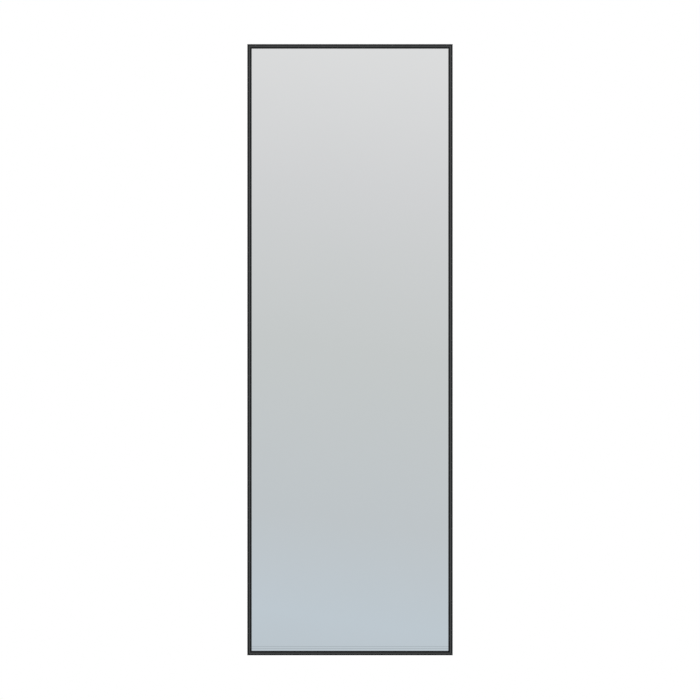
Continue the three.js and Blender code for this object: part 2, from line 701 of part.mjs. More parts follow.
const movingRearX = slideRearX + BUMPER_LENGTH + SEAT_GAP;
const bumperX = slideRearX + BUMPER_LENGTH / 2;

function railSection(half) {
  const lower = half.map(([y, z, radius]) => [y, -z, radius]).reverse();
  return bentSheet([...lower, ...half], RAIL_SHEET);
}
const outerSection = railSection([
  [outerWebY, outerBallZ + grooveDepth - (outerWebY - outerBallY) * rise, RAIL_BEND],
  [outerBallY, outerBallZ + grooveDepth, grooveRadius],
  [outerBallY - RAIL_LIP, outerBallZ + grooveDepth - RAIL_LIP * rise],
]);
const middleSection = railSection([
  [middleWebY, outerBallZ - grooveDepth + grooveHalf * rise, RAIL_BEND],
  [outerBallY, outerBallZ - grooveDepth, grooveRadius],
  [innerBallY, innerBallZ + grooveDepth, grooveRadius],
  [innerBallY - RAIL_LIP, innerBallZ + grooveDepth - RAIL_LIP * rise],
]);
const innerSection = railSection([
  [innerWebY, innerBallZ - grooveDepth + grooveHalf * rise, RAIL_BEND],
  [innerBallY, innerBallZ - grooveDepth, grooveRadius],
  [innerBallY + RAIL_LIP, innerBallZ - grooveDepth + RAIL_LIP * rise],
]);

// Pressed lugs near a rail's front end, which stop the ball retainer that runs on its web.
function stopLugs(webY) {
  const proud = WEB_GAP + RETAINER_SHEET;
  const profile = [
    [0, -RAIL_SHEET / 2 - proud],
    [LUG_TIP_DIAMETER / 2, -RAIL_SHEET / 2 - proud],
    [LUG_DIAMETER / 2, -RAIL_SHEET / 2],
    [LUG_DIAMETER / 2, 0],
    [0, 0],
  ];
  const lugs = [-LUG_HEIGHT, LUG_HEIGHT].map((z) =>
    turned("y", profile, [slideFrontX - LUG_INSET, webY, z], HOLE_STEPS),
  );
  return wasm.Manifold.union(lugs);
}

const throughWeb = (webY) => [webY - RAIL_SHEET / 2 - OVERRUN, webY + RAIL_SHEET / 2 + OVERRUN];
const outerCuts = [
  ...mountHoles.map((x) => bar("y", MOUNT_HOLE_DIAMETER / 2, ...throughWeb(outerWebY), [x, 0, 0])),
  ...[slideRearX + MOUNT_SLOT_INSET, slideFrontX - MOUNT_SLOT_INSET].map((x) =>
    slot(MOUNT_SLOT_LENGTH, MOUNT_HOLE_DIAMETER, ...throughWeb(outerWebY), x, 0),
  ),
  bar("y", BUMPER_PEG_DIAMETER / 2 + HOLE_PLAY, ...throughWeb(outerWebY), [bumperX, 0, 0]),
];
const middleCuts = mountHoles.map((x) =>
  slot(WINDOW_LENGTH, WINDOW_HEIGHT, ...throughWeb(middleWebY), x, 0),
);
const innerCuts = [
  ...mountHoles
    .filter((x) => x + WINDOW_LENGTH < forkRearX)
    .map((x) => slot(WINDOW_LENGTH, WINDOW_HEIGHT, ...throughWeb(innerWebY), x, 0)),
  ...forkRivets.map((place) => rivetHole(place, slideFaceY, slideFaceY + RAIL_SHEET)),
];
const cutRail = (section, rearX, cuts) =>
  prism("x", section, rearX, slideFrontX).subtract(wasm.Manifold.union(cuts));

const wallSide = new THREE.Group();
const outerRail = cutRail(outerSection, slideRearX, outerCuts).add(stopLugs(outerWebY));
wallSide.add(mesh("outer_rail", outerRail, zinc));
const middleStage = new THREE.Group();
const middleRail = cutRail(middleSection, movingRearX, middleCuts).add(stopLugs(middleWebY));
middleStage.add(mesh("middle_rail", middleRail, zinc));
carriage.add(mesh("inner_rail", cutRail(innerSection, movingRearX, innerCuts), zinc));

// The rear bumper, pegged into the outer rail's web, where the moving rails come to rest.
const bumperOutline = rounded([
  [-RAIL_SHEET, -BUMPER_HEIGHT / 2],
  [-RAIL_SHEET, BUMPER_HEIGHT / 2],
  [-RAIL_SHEET - BUMPER_DEPTH, BUMPER_HEIGHT / 2, BUMPER_ROUND],
  [-RAIL_SHEET - BUMPER_DEPTH, -BUMPER_HEIGHT / 2, BUMPER_ROUND],
]);
const peg = bar("y", BUMPER_PEG_DIAMETER / 2, -RAIL_SHEET - BUMPER_DEPTH / 2, 0, [bumperX, 0, 0]);
const bumper = prism("x", bumperOutline, slideRearX, slideRearX + BUMPER_LENGTH).add(peg);
wallSide.add(mesh("rear_bumper", bumper, blackPlastic));

// A ball retainer: a U of thin sheet that runs at half the pace of the rail it carries, with a row
// of balls snapped into each flange. It stays within the overlap of its rails, fully drawn out.
const BALLS_PER_ROW = 7;
const RETAINER_GRIP = 1.9; // how far a flange reaches past its row of balls
const RETAINER_END_GAP = 5;
const RETAINER_STRAP = 12; // what the window leaves at each end of the web
const RETAINER_WINDOW_HEIGHT = 14;
const BALL_STEPS = 8;
const BALL_RINGS = 6;
const stageTravel = RAIL_LENGTH / 2;
const retainerRearX = movingRearX + stageTravel / 2 + RETAINER_END_GAP;
const retainerFrontX = slideFrontX - stageTravel / 2 - RETAINER_END_GAP;
const ballPitch = (retainerFrontX - retainerRearX) / BALLS_PER_ROW;

function ballRetainer(name, webY, ballY, ballZ) {
  const section = bentSheet(
    [
      [ballY - RETAINER_GRIP, -ballZ],
      [webY, -ballZ, RETAINER_SHEET],
      [webY, ballZ, RETAINER_SHEET],
      [ballY - RETAINER_GRIP, ballZ],
    ],
    RETAINER_SHEET,
  );
  const window = prism(
    "x",
    rounded([
      [webY - RETAINER_SHEET, -RETAINER_WINDOW_HEIGHT / 2],
      [webY + RETAINER_SHEET, -RETAINER_WINDOW_HEIGHT / 2],
      [webY + RETAINER_SHEET, RETAINER_WINDOW_HEIGHT / 2],
      [webY - RETAINER_SHEET, RETAINER_WINDOW_HEIGHT / 2],
    ]),
    retainerRearX + RETAINER_STRAP,
    retainerFrontX - RETAINER_STRAP,
  );
  const balls = [];
  for (let i = 0; i < BALLS_PER_ROW; i += 1) {
    for (const z of [-ballZ, ballZ]) {
      const ball = new THREE.SphereGeometry(ballRadius, BALL_STEPS, BALL_RINGS);
      balls.push(solid(ball.translate(retainerRearX + (i + 0.5) * ballPitch, ballY, z)));
    }
  }
  const strip = prism("x", section, retainerRearX, retainerFrontX).subtract(window);
  return mesh(name, strip.add(wasm.Manifold.union(balls)), zinc);
}
const outerRetainer = ballRetainer("outer_ball_retainer", outerRetainerY, outerBallY, outerBallZ);
const innerRetainer = ballRetainer("inner_ball_retainer", innerRetainerY, innerBallY, innerBallZ);

const mirror = new THREE.Group();
mirror.add(wallSide, outerRetainer, middleStage, innerRetainer, carriage, leaf);

export default mirror;
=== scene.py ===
import math

import bmesh
import bpy
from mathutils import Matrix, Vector


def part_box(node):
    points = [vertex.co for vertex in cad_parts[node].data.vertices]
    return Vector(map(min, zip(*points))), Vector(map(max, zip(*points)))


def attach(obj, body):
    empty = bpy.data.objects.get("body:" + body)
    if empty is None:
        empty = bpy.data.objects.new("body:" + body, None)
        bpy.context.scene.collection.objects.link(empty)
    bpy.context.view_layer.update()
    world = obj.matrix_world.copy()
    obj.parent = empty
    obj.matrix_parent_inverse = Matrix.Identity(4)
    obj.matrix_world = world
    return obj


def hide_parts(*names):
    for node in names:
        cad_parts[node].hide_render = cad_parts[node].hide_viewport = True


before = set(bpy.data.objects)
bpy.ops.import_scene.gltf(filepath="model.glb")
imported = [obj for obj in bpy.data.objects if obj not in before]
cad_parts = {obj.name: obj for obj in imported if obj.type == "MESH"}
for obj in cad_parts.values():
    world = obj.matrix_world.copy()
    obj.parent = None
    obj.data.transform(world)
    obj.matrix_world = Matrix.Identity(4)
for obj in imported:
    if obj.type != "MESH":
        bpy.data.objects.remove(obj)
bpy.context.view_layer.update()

scene = bpy.context.scene
scene.view_settings.view_transform = "Standard"


# Camera. It looks level and straight at the middle of the leaf, from far enough away for the long
# sides to stay upright, and the leaf fills 611 of the picture's 700 pixels.
PICTURE_ROWS = 700
LEAF_ROWS = 611.3
LEAF_MIDDLE_ROW = 349.72
LENS = 85
SENSOR = 36
leaf_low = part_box("frame_bottom_rail")[0]
leaf_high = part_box("frame_top_rail")[1]
leaf_front = leaf_low.y
view_height = (leaf_high.z - leaf_low.z) / (LEAF_ROWS / PICTURE_ROWS)
camera = bpy.data.objects.new("front_camera", bpy.data.cameras.new("front_camera"))
camera.data.lens = LENS
camera.data.sensor_width = SENSOR
camera.data.clip_end = 200
aim = (leaf_low.z + leaf_high.z) / 2 + view_height * (LEAF_MIDDLE_ROW / PICTURE_ROWS - 0.5)
camera.location = (0, leaf_front - view_height * LENS / SENSOR, aim)
camera.rotation_euler = (math.pi / 2, 0, 0)
scene.collection.objects.link(camera)
scene.camera = camera


# Studio. A white room: white behind the object, and for what shines a soft grey sweep that is
# cooler and darker low down and white high up, as the glass of the photographed mirror shows it.
def node(tree, kind, feeds=None, **settings):
    """Adds a shader node, and gives each of its inputs a value or the output that feeds it."""
    made = tree.nodes.new("ShaderNode" + kind)
    for key, value in settings.items():
        setattr(made, key, value)
    for socket, value in (feeds or {}).items():
        if isinstance(value, bpy.types.NodeSocket):
            tree.links.new(value, made.inputs[socket])
        else:
            made.inputs[socket].default_value = value
    return made


def calc(tree, operation, *values, **settings):
    """What a maths node makes of these values."""
    feeds = dict(enumerate(values))
    return node(tree, "Math", feeds, operation=operation, **settings).outputs[0]


def ranged(tree, value, start, end, low=0.0, high=1.0, **settings):
    """A value between start and end, as a place between low and high."""
    feeds = {"Value": value, "From Min": start, "From Max": end, "To Min": low, "To Max": high}
    return node(tree, "MapRange", feeds, **settings).outputs[0]


def mixed(tree, share, one, other):
    """One colour, giving way to the other by its share."""
    return node(tree, "MixRGB", {"Fac": share, "Color1": one, "Color2": other}).outputs[0]


def ramp(tree, feed, stops):
    """A colour ramp through stops (place, colour)."""
    made = node(tree, "ValToRGB", {"Fac": feed})
    while len(made.color_ramp.elements) < len(stops):
        made.color_ramp.elements.new(0.5)
    for element, (place, colour) in zip(made.color_ramp.elements, stops):
        element.position = place
        element.color = (*colour, 1)
    return made.outputs["Color"]


SWEEP = (
    (0.0, (0.36, 0.38, 0.40)),
    (0.34, (0.58, 0.64, 0.70)),
    (0.40, (0.59, 0.62, 0.65)),
    (0.50, (0.635, 0.65, 0.655)),
    (0.60, (0.72, 0.715, 0.73)),
    (0.68, (0.80, 0.79, 0.80)),
    (1.0, (1.0, 1.0, 1.0)),
)
SWEEP_LEAN = 0.15
HORIZON = 0.485
HAZE = 0.03
AMBIENT = 0.72
world = bpy.data.worlds.new("white_studio")
world.use_nodes = True
scene.world = world
tree = world.node_tree
way = node(tree, "TexCoord").outputs["Generated"]
parts = node(tree, "SeparateXYZ", {"Vector": way}).outputs
haze = node(tree, "TexNoise", {"Vector": way, "Scale": 5.0, "Detail": 2.0}).outputs["Fac"]
rise = calc(tree, "ADD", parts["Z"], calc(tree, "MULTIPLY", parts["X"], SWEEP_LEAN))
hazed = calc(tree, "MULTIPLY_ADD", haze, HAZE, rise)
sweep = ramp(tree, calc(tree, "ADD", hazed, HORIZON), SWEEP)
ray = node(tree, "LightPath").outputs
shiny = calc(tree, "MAXIMUM", ray["Is Glossy Ray"], ray["Is Transmission Ray"])
lit = mixed(tree, shiny, (AMBIENT, AMBIENT, AMBIENT, 1), sweep)
seen = mixed(tree, ray["Is Camera Ray"], lit, (1, 1, 1, 1))
tree.links.new(seen, tree.nodes["Background"].inputs["Color"])


def softbox(name, azimuth, elevation, distance, size, strength):
    """A lamp that lights a white card facing it to this strength."""
    data = bpy.data.lights.new(name, "AREA")
    data.shape = "RECTANGLE"
    data.size, data.size_y = size
    data.energy = strength * (math.pi * distance) ** 2
    lamp = bpy.data.objects.new(name, data)
    around, up = math.radians(azimuth), math.radians(elevation)
    level = math.cos(up)
    way_out = Vector((math.sin(around) * level, -math.cos(around) * level, math.sin(up)))
    lamp.location = way_out * distance
    lamp.rotation_euler = way_out.to_track_quat("Z", "Y").to_euler()
    scene.collection.objects.link(lamp)


softbox("front_left_softbox", -44, 32, 3.0, (1.2, 1.8), 0.22)
softbox("front_right_softbox", 44, 32, 3.0, (1.2, 1.8), 0.22)
softbox("rear_left_softbox", 222, 34, 3.0, (3.0, 3.0), 0.16)
softbox("rear_right_softbox", 138, 34, 3.0, (3.0, 3.0), 0.16)
softbox("overhead_softbox", 0, 89, 2.6, (2.4, 1.8), 0.15)


# Floor. A pale studio floor, three quarters of a metre below the leaf, which hangs from a closet's
# wall. It keeps the object's shadow near by and runs out to plain white.
FLOOR_DROP = 0.75
FLOOR_SIZE = 80.0
FADE_START = 0.9
FADE_END = 2.6
NEAR_GLOW = 0.6
bpy.ops.mesh.primitive_plane_add(size=FLOOR_SIZE, location=(0, 0, leaf_low.z - FLOOR_DROP))
floor = bpy.context.object
floor.name = "studio_floor"
floor.visible_glossy = False
floor_finish = bpy.data.materials.new("pale_floor")
floor_finish.use_nodes = True
tree = floor_finish.node_tree
tree.nodes.clear()
spot = node(tree, "TexCoord").outputs["Object"]
away = node(tree, "VectorMath", {0: spot}, operation="LENGTH").outputs["Value"]
smooth = {"interpolation_type": "SMOOTHSTEP"}
fade = ranged(tree, away, FADE_START, FADE_END, NEAR_GLOW, 1.0, **smooth)
white = calc(tree, "MULTIPLY", fade, node(tree, "LightPath").outputs["Is Camera Ray"])
matt = node(tree, "BsdfDiffuse", {"Color": (0.82, 0.82, 0.81, 1)}).outputs[0]
glow = node(tree, "Emission", {"Color": (1, 1, 1, 1)}).outputs[0]
top_side = node(tree, "MixShader", {"Fac": white, 1: matt, 2: glow}).outputs[0]
under_side = node(tree, "BsdfTransparent").outputs[0]
facing = node(tree, "NewGeometry").outputs["Backfacing"]
both = node(tree, "MixShader", {"Fac": facing, 1: top_side, 2: under_side}).outputs[0]
node(tree, "OutputMaterial", {"Surface": both})
floor.data.materials.append(floor_finish)


# Frame bars. Aluminium extruded to one section with three lips: the front lip shows round the glass
# and has a fine bead along its middle, the middle lip holds the pane down, and the rear lip closes
# the channel for keys and screws. The bars are sawn to mitres, countersunk and powder coated black.
FACE = 0.007
WALL = 0.0015
BEAD = (0.0027, 0.0042)
BEAD_HEIGHT = 0.0002
# How far back from the bead's front the painted highlight reaches, as a share of the bead's height.
BEAD_HIGHLIGHT_SHARE = 0.6
LIPS = ((BEAD_HEIGHT, 0.0015), (0.0094, 0.0109), (0.0165, 0.018))
OUTER_ROUND = 0.0004
TIP_ROUND = 0.0003
MITRE_GAP = 0.0001
MITRE_FILL = 0.00007
BAR_EDGE = 0.00009
SPARE = 0.001
Y = (0, 1, 0)
Z = (0, 0, 1)
SAME = 1e-6
CLOSE = 1e-5
FACING = 0.9
STRAIGHT = 0.999
SCREW_RADIUS = 0.00125
SCREW_HEAD_RADIUS = 0.0022
SCREW_HEAD_DEPTH = 0.001
SCREW_HOLE = SCREW_RADIUS + 0.00015
SCREW_SEAT = SCREW_HEAD_RADIUS + 0.00015
SMOOTH_BELOW = math.radians(50)
SHARP_ABOVE = math.radians(40)
FLAT_BELOW = math.radians(0.5)


def fresh():
    """Back to object mode with nothing selected."""
    if bpy.context.mode != "OBJECT":
        bpy.ops.object.mode_set(mode="OBJECT")
    bpy.ops.object.select_all(action="DESELECT")


def take(*pieces):
    """Selects these pieces alone, the first one active."""
    fresh()
    for piece in pieces:
        piece.select_set(True)
    bpy.context.view_layer.objects.active = pieces[0]


def block(one, other):
    """A cube between two corners, to be shaped."""
    fresh()
    low = Vector(map(min, one, other))
    high = Vector(map(max, one, other))
    bpy.ops.mesh.primitive_cube_add(size=1, location=(low + high) / 2, scale=high - low)
    bpy.ops.object.transform_apply()
    return bpy.context.object


def choose_all():
    bpy.ops.mesh.select_all(action="SELECT")


def edit(piece):
    """Edit mode on this piece, all of it selected."""
    take(piece)
    bpy.ops.object.mode_set(mode="EDIT")
    choose_all()


def choose(kind, wanted):
    """In edit mode, selects the faces, edges or verts that are wanted."""
    bpy.ops.mesh.select_mode(type=kind.upper()[:-1])
    bpy.ops.mesh.select_all(action="DESELECT")
    mesh = bmesh.from_edit_mesh(bpy.context.object.data)
    mesh.normal_update()
    for part in getattr(mesh, kind):
        if wanted(part):
            part.select_set(True)
    mesh.select_flush_mode()
    bmesh.update_edit_mesh(bpy.context.object.data)


def centre(node_name):
    """The middle of a CAD node's box."""
    low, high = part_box(node_name)
    return (low + high) / 2


def along(axis, length=1):
    """A step of this length along one axis."""
    step = Vector((0, 0, 0))
    step[axis] = length
    return step


def middle(edge):
    return (edge.verts[0].co + edge.verts[1].co) / 2


def lies_along(edge, axis):
    run = edge.verts[1].co - edge.verts[0].co
    return abs(run.normalized()[axis]) > STRAIGHT


def push(*way):
    """Extrudes what is selected by this much."""
    bpy.ops.mesh.extrude_region_move(TRANSFORM_OT_translate={"value": way})


def modified(piece, kind, **settings):
    """Gives the piece a modifier and applies it."""
    take(piece)
    step = piece.modifiers.new(kind.lower(), kind)
    for key, value in settings.items():
        setattr(step, key, value)
    bpy.ops.object.modifier_apply(modifier=step.name)
    return piece


def combined(piece, tool, operation="DIFFERENCE"):
    """Cuts the tool out of the piece, or adds it to the piece, and takes the tool away."""
    modified(piece, "BOOLEAN", object=tool, operation=operation, solver="MANIFOLD")
    bpy.data.objects.remove(tool)
    return piece


def joined(pieces):
    """Several objects as one."""
    take(*pieces)
    bpy.ops.object.join()
    return pieces[0]


def softened(piece, width, segments=2):
    """Clears up after the cuts, breaks every sharp edge, and keeps the flats beside it flat."""
    edit(piece)
    bpy.ops.mesh.remove_doubles(threshold=width / 8)
    bpy.ops.mesh.dissolve_degenerate(threshold=width / 8)
    bpy.ops.mesh.dissolve_limited(angle_limit=FLAT_BELOW)
    bpy.ops.mesh.delete_loose()
    limit = {"limit_method": "ANGLE", "angle_limit": SHARP_ABOVE}
    modified(piece, "BEVEL", width=width, segments=segments, **limit)
    take(piece)
    bpy.ops.object.shade_smooth_by_angle(angle=SMOOTH_BELOW)
    return modified(piece, "WEIGHTED_NORMAL", keep_sharp=True)


def traced(points):
    """One vertex, extruded from point to point. Leaves the line in edit mode."""
    fresh()
    bpy.ops.mesh.primitive_plane_add(size=1)
    piece = bpy.context.object
    edit(piece)
    bpy.ops.mesh.select_mode(type="VERT")
    bpy.ops.mesh.merge(type="CENTER")
    choose_all()
    bpy.ops.transform.translate(value=points[0])
    for before, after in zip(points, points[1:]):
        bpy.ops.mesh.extrude_vertices_move(
            TRANSFORM_OT_translate={"value": Vector(after) - Vector(before)}
        )
    choose_all()
    return piece


def closed_up():
    """Merges what meets, and turns every face outwards."""
    choose_all()
    bpy.ops.mesh.remove_doubles(threshold=SAME)
    bpy.ops.mesh.normals_make_consistent(inside=False)


def spun(profile, place, axis, steps=32):
    """A line of points (radius, height) spun once round an axis through place."""
    rise = Vector(axis)
    piece = traced([Vector((radius, 0, 0)) + rise * height for radius, height in profile])
    bpy.ops.mesh.spin(steps=steps, angle=math.tau, center=(0, 0, 0), axis=axis)
    closed_up()
    bpy.ops.transform.translate(value=place)
    fresh()
    return piece


def painted(piece, name, *coats):
    """Names the piece and gives it its finish, or several for its faces to choose from."""
    piece.name = name
    piece.data.name = name
    piece.data.materials.clear()
    for coat in coats:
        piece.data.materials.append(coat)
    return piece


def node_group(name, inputs, outputs):
    """An empty shader node group with named sockets, and its input and output nodes."""
    made = bpy.data.node_groups.new(name, "ShaderNodeTree")
    for title, value in inputs.items():
        kind = "NodeSocketVector" if isinstance(value, tuple) else "NodeSocketFloat"
        made.interface.new_socket(title, in_out="INPUT", socket_type=kind).default_value = value
    for title in outputs:
        made.interface.new_socket(title, in_out="OUTPUT", socket_type="NodeSocketFloat")
    return made, made.nodes.new("NodeGroupInput").outputs, made.nodes.new("NodeGroupOutput").inputs


# What rubs off at edges: the normal of a rounded edge, set against the surface's own, is broken up
# by a coarse noise.
edge_wear, given, wanted = node_group("edge_wear", {"Radius": 0.0004, "Amount": 1.0}, ["Mask"])
rounded = node(edge_wear, "Bevel", {"Radius": given["Radius"]}, samples=4).outputs[0]
own = node(edge_wear, "NewGeometry").outputs["Normal"]
spot = node(edge_wear, "TexCoord").outputs["Object"]
alike = node(edge_wear, "VectorMath", {0: rounded, 1: own}, operation="DOT_PRODUCT")
patches = node(edge_wear, "TexNoise", {"Vector": spot, "Scale": 190.0, "Detail": 3.0})
turned_away = ranged(edge_wear, alike.outputs["Value"], 1.0, 0.8)
rubbed = ranged(edge_wear, patches.outputs["Fac"], 0.45, 0.65, 0.1, 1.0)
broken = calc(edge_wear, "MULTIPLY", turned_away, rubbed)
mask = calc(edge_wear, "MULTIPLY", broken, given["Amount"], use_clamp=True)
edge_wear.links.new(mask, wanted["Mask"])

# The grain of a surface, fine and broad, which a stretch draws out along one axis.
sockets = {"Stretch": (1, 1, 1), "Scale": 1000.0}
grain, given, wanted = node_group("grain", sockets, ["Fine", "Broad"])
spot = node(grain, "TexCoord").outputs["Object"]
stretched = node(grain, "VectorMath", {0: spot, 1: given["Stretch"]}, operation="MULTIPLY")
broad_scale = calc(grain, "MULTIPLY", given["Scale"], 0.03)
for title, scale, detail, roughness in (
    ("Fine", given["Scale"], 3.0, 0.55),
    ("Broad", broad_scale, 4.0, 0.6),
):
    feeds = {"Vector": stretched.outputs[0], "Scale": scale, "Detail": detail, "Roughness": roughness}
    grain.links.new(node(grain, "TexNoise", feeds).outputs["Fac"], wanted[title])

GRAIN_LOW = 0.25
GRAIN_HIGH = 0.75


def finish(name, metallic=0.0):
    """A new finish: its node tree and its shader."""
    made = bpy.data.materials.new(name)
    made.use_nodes = True
    shader = made.node_tree.nodes["Principled BSDF"]
    shader.inputs["Metallic"].default_value = metallic
    return made, made.node_tree, shader


def grained(tree, scale, stretch=(1, 1, 1)):
    """The fine and the broad grain."""
    made = node(tree, "Group", {"Scale": scale, "Stretch": stretch}, node_tree=grain).outputs
    return made["Fine"], made["Broad"]


def edge_worn(tree, radius, amount):
    """The mask of edges that are rubbed bare."""
    return node(tree, "Group", {"Radius": radius, "Amount": amount}, node_tree=edge_wear).outputs[0]


def coloured(tree, shader, mask, low, high):
    """Colour from low to high, by a mask."""
    colour = ramp(tree, mask, ((GRAIN_LOW, low), (GRAIN_HIGH, high)))
    tree.links.new(colour, shader.inputs["Base Color"])
    return colour


def roughened(tree, shader, mask, low, high):
    """Roughness from low to high, by a mask."""
    gloss = ranged(tree, mask, GRAIN_LOW, GRAIN_HIGH, low, high)
    tree.links.new(gloss, shader.inputs["Roughness"])


def bumped(tree, shader, height, depth):
    """Relief of this depth, from a height."""
    relief = node(tree, "Bump", {"Height": height, "Distance": depth, "Strength": 1.0})
    tree.links.new(relief.outputs[0], shader.inputs["Normal"])


def wear_and_painted_light_to(tree, shader, colour, mask, bare):
    """The colour mixed towards a second one by the mask: worn edges, fibres, painted highlights and
    painted reflections.
    """
    shown = mixed(tree, mask, colour, (*bare, 1))
    tree.links.new(shown, shader.inputs["Base Color"])
    return shown


def grainy(
    name, scale, tones, gloss, relief=0, metallic=0.0, wear=None, stretch=(1, 1, 1), cloudy=False
):
    """A finish with grain in its colour, roughness and relief. Its wear is how far from an edge it
    is rubbed, how much, and the bare colour. A cloudy finish is rough by its broad grain."""
    made, tree, shader = finish(name, metallic)
    fine, broad = grained(tree, scale, stretch)
    colour = coloured(tree, shader, broad, *tones)
    if wear:
        radius, amount, bare = wear
        wear_and_painted_light_to(tree, shader, colour, edge_worn(tree, radius, amount), bare)
    roughened(tree, shader, broad if cloudy else fine, *gloss)
    if relief:
        bumped(tree, shader, fine, relief)
    return made


def black_coat(name):
    """Powder coat: black, with a fine orange peel, and rubbed grey where edges are handled."""
    made, tree, shader = finish(name)
    shader.inputs["Specular IOR Level"].default_value = 0.16
    fine, broad = grained(tree, 1300.0)
    colour = coloured(tree, shader, broad, (0.0068, 0.0078, 0.0085), (0.0096, 0.0109, 0.0117))
    worn = wear_and_painted_light_to(tree, shader, colour, edge_worn(tree, 0.0005, 0.4), (0.085, 0.087, 0.088))
    roughened(tree, shader, fine, 0.42, 0.56)
    bumped(tree, shader, fine, 0.00006)
    return made, tree, shader, worn


frame_coat, tree, shader, colour = black_coat("frame_powder_coat")
# Painted highlight: the front of each bar's bead is mixed to a lighter grey, for the light line it
# catches.
depth = node(tree, "SeparateXYZ", {"Vector": node(tree, "TexCoord").outputs["Object"]}).outputs["Y"]
crown = ranged(tree, depth, leaf_front + BEAD_HIGHLIGHT_SHARE * BEAD_HEIGHT, leaf_front)
wear_and_painted_light_to(tree, shader, colour, crown, (0.057, 0.059, 0.059))

screw_nodes = [f"corner_screw_{i}" for i in range(1, 9)] + [f"cross_screw_{i}" for i in range(1, 5)]
screw_places = {}
for name in screw_nodes:
    low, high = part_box(name)
    screw_places[name] = Vector(((low.x + high.x) / 2, high.y, (low.z + high.z) / 2))

COUNTERSINK = (
    (0, -WALL - SPARE),
    (SCREW_HOLE, -WALL - SPARE),
    (SCREW_HOLE, -SCREW_HEAD_DEPTH),
    (SCREW_SEAT, 0),
    (SCREW_SEAT, SPARE),
    (0, SPARE),
)


def frame_bar(name, node_name, turn):
    """A bar made lying at the leaf's lower edge, and then turned round the leaf to its side."""
    low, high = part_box(node_name)
    upright = high.z - low.z > high.x - low.x
    half = (high.z - low.z) / 2 if upright else (high.x - low.x) / 2 + MITRE_FILL
    edge = -(leaf_high.x + MITRE_GAP) if upright else leaf_low.z
    front, rear = leaf_front + BEAD_HEIGHT, high.y
    bar = block((-half, front, edge), (half, rear, edge + WALL))
    edit(bar)
    for depth in (LIPS[0][1], *LIPS[1], LIPS[2][0]):
        choose_all()
        bpy.ops.mesh.bisect(plane_co=(0, leaf_front + depth, 0), plane_no=Y)
    choose(
        "faces",
        lambda face: face.normal.z > FACING
        and any(a < face.calc_center_median().y - leaf_front < b for a, b in LIPS),
    )
    push(0, 0, FACE - WALL)
    for height, depths, radius, segments in (
        (0, (front, rear), OUTER_ROUND, 4),
        (FACE, (front, leaf_front + LIPS[0][1], rear), TIP_ROUND, 3),
    ):
        choose(
            "edges",
            lambda line: lies_along(line, 0)
            and abs(middle(line).z - edge - height) < CLOSE
            and min(abs(middle(line).y - depth) for depth in depths) < CLOSE,
        )
        bpy.ops.mesh.bevel(offset=radius, segments=segments)
    for height in BEAD:
        choose("faces", lambda face: abs(face.calc_center_median().y - front) < SAME)
        bpy.ops.mesh.bisect(plane_co=(0, 0, edge + height), plane_no=Z)
    choose(
        "faces",
        lambda face: abs(face.calc_center_median().y - front) < SAME
        and BEAD[0] < face.calc_center_median().z - edge < BEAD[1],
    )
    push(0, -BEAD_HEIGHT, 0)
    for side in (-1, 1):
        choose_all()
        bpy.ops.mesh.bisect(
            plane_co=(side * half, 0, edge), plane_no=(side, 0, 1), clear_outer=True, use_fill=True
        )
    closed_up()
    take(bar)
    bar.rotation_euler = (0, turn, 0)
    bpy.ops.object.transform_apply()
    holes = [
        spun(COUNTERSINK, place, Y, 24)
        for place in screw_places.values()
        if low.x < place.x < high.x and low.z < place.z < high.z
    ]
    combined(bar, joined(holes))
    softened(bar, BAR_EDGE)
    painted(bar, name, frame_coat)
    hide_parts(node_name)
    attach(bar, "leaf")


frame_bar("bottom_bar", "frame_bottom_rail", 0)
frame_bar("rear_bar", "frame_rear_stile", math.pi / 2)
frame_bar("top_bar", "frame_top_rail", math.pi)
frame_bar("front_bar", "frame_front_stile", -math.pi / 2)


# Corner keys. Each is die cast as an L with its inner sides cored out, and pushed into the rear
# channels of two bars. A screw through each leg pins it there.
KEY_LEG = 0.034
KEY_OUTER = WALL + 0.0003
KEY_INNER = FACE - 0.00025
KEY_CORNER = 0.0005
KEY_WALL = 0.0009
KEY_CORING = 0.0007
KEY_CORED_AREA = 0.0001
KEY_EDGE = 0.0002

cast_zinc = grainy(
    "cast_zinc",
    900.0,
    ((0.24, 0.25, 0.26), (0.34, 0.35, 0.36)),
    (0.45, 0.65),
    0.00008,
    metallic=0.9,
    wear=(0.0004, 0.6, (0.55, 0.56, 0.57)),
)


def drill(place, radius, axis, low, high, steps=24):
    """A round tool from low to high along an axis, to cut a hole."""
    at = Vector(place)
    at[axis] = 0
    return spun(((0, low), (radius, low), (radius, high), (0, high)), at, along(axis), steps)


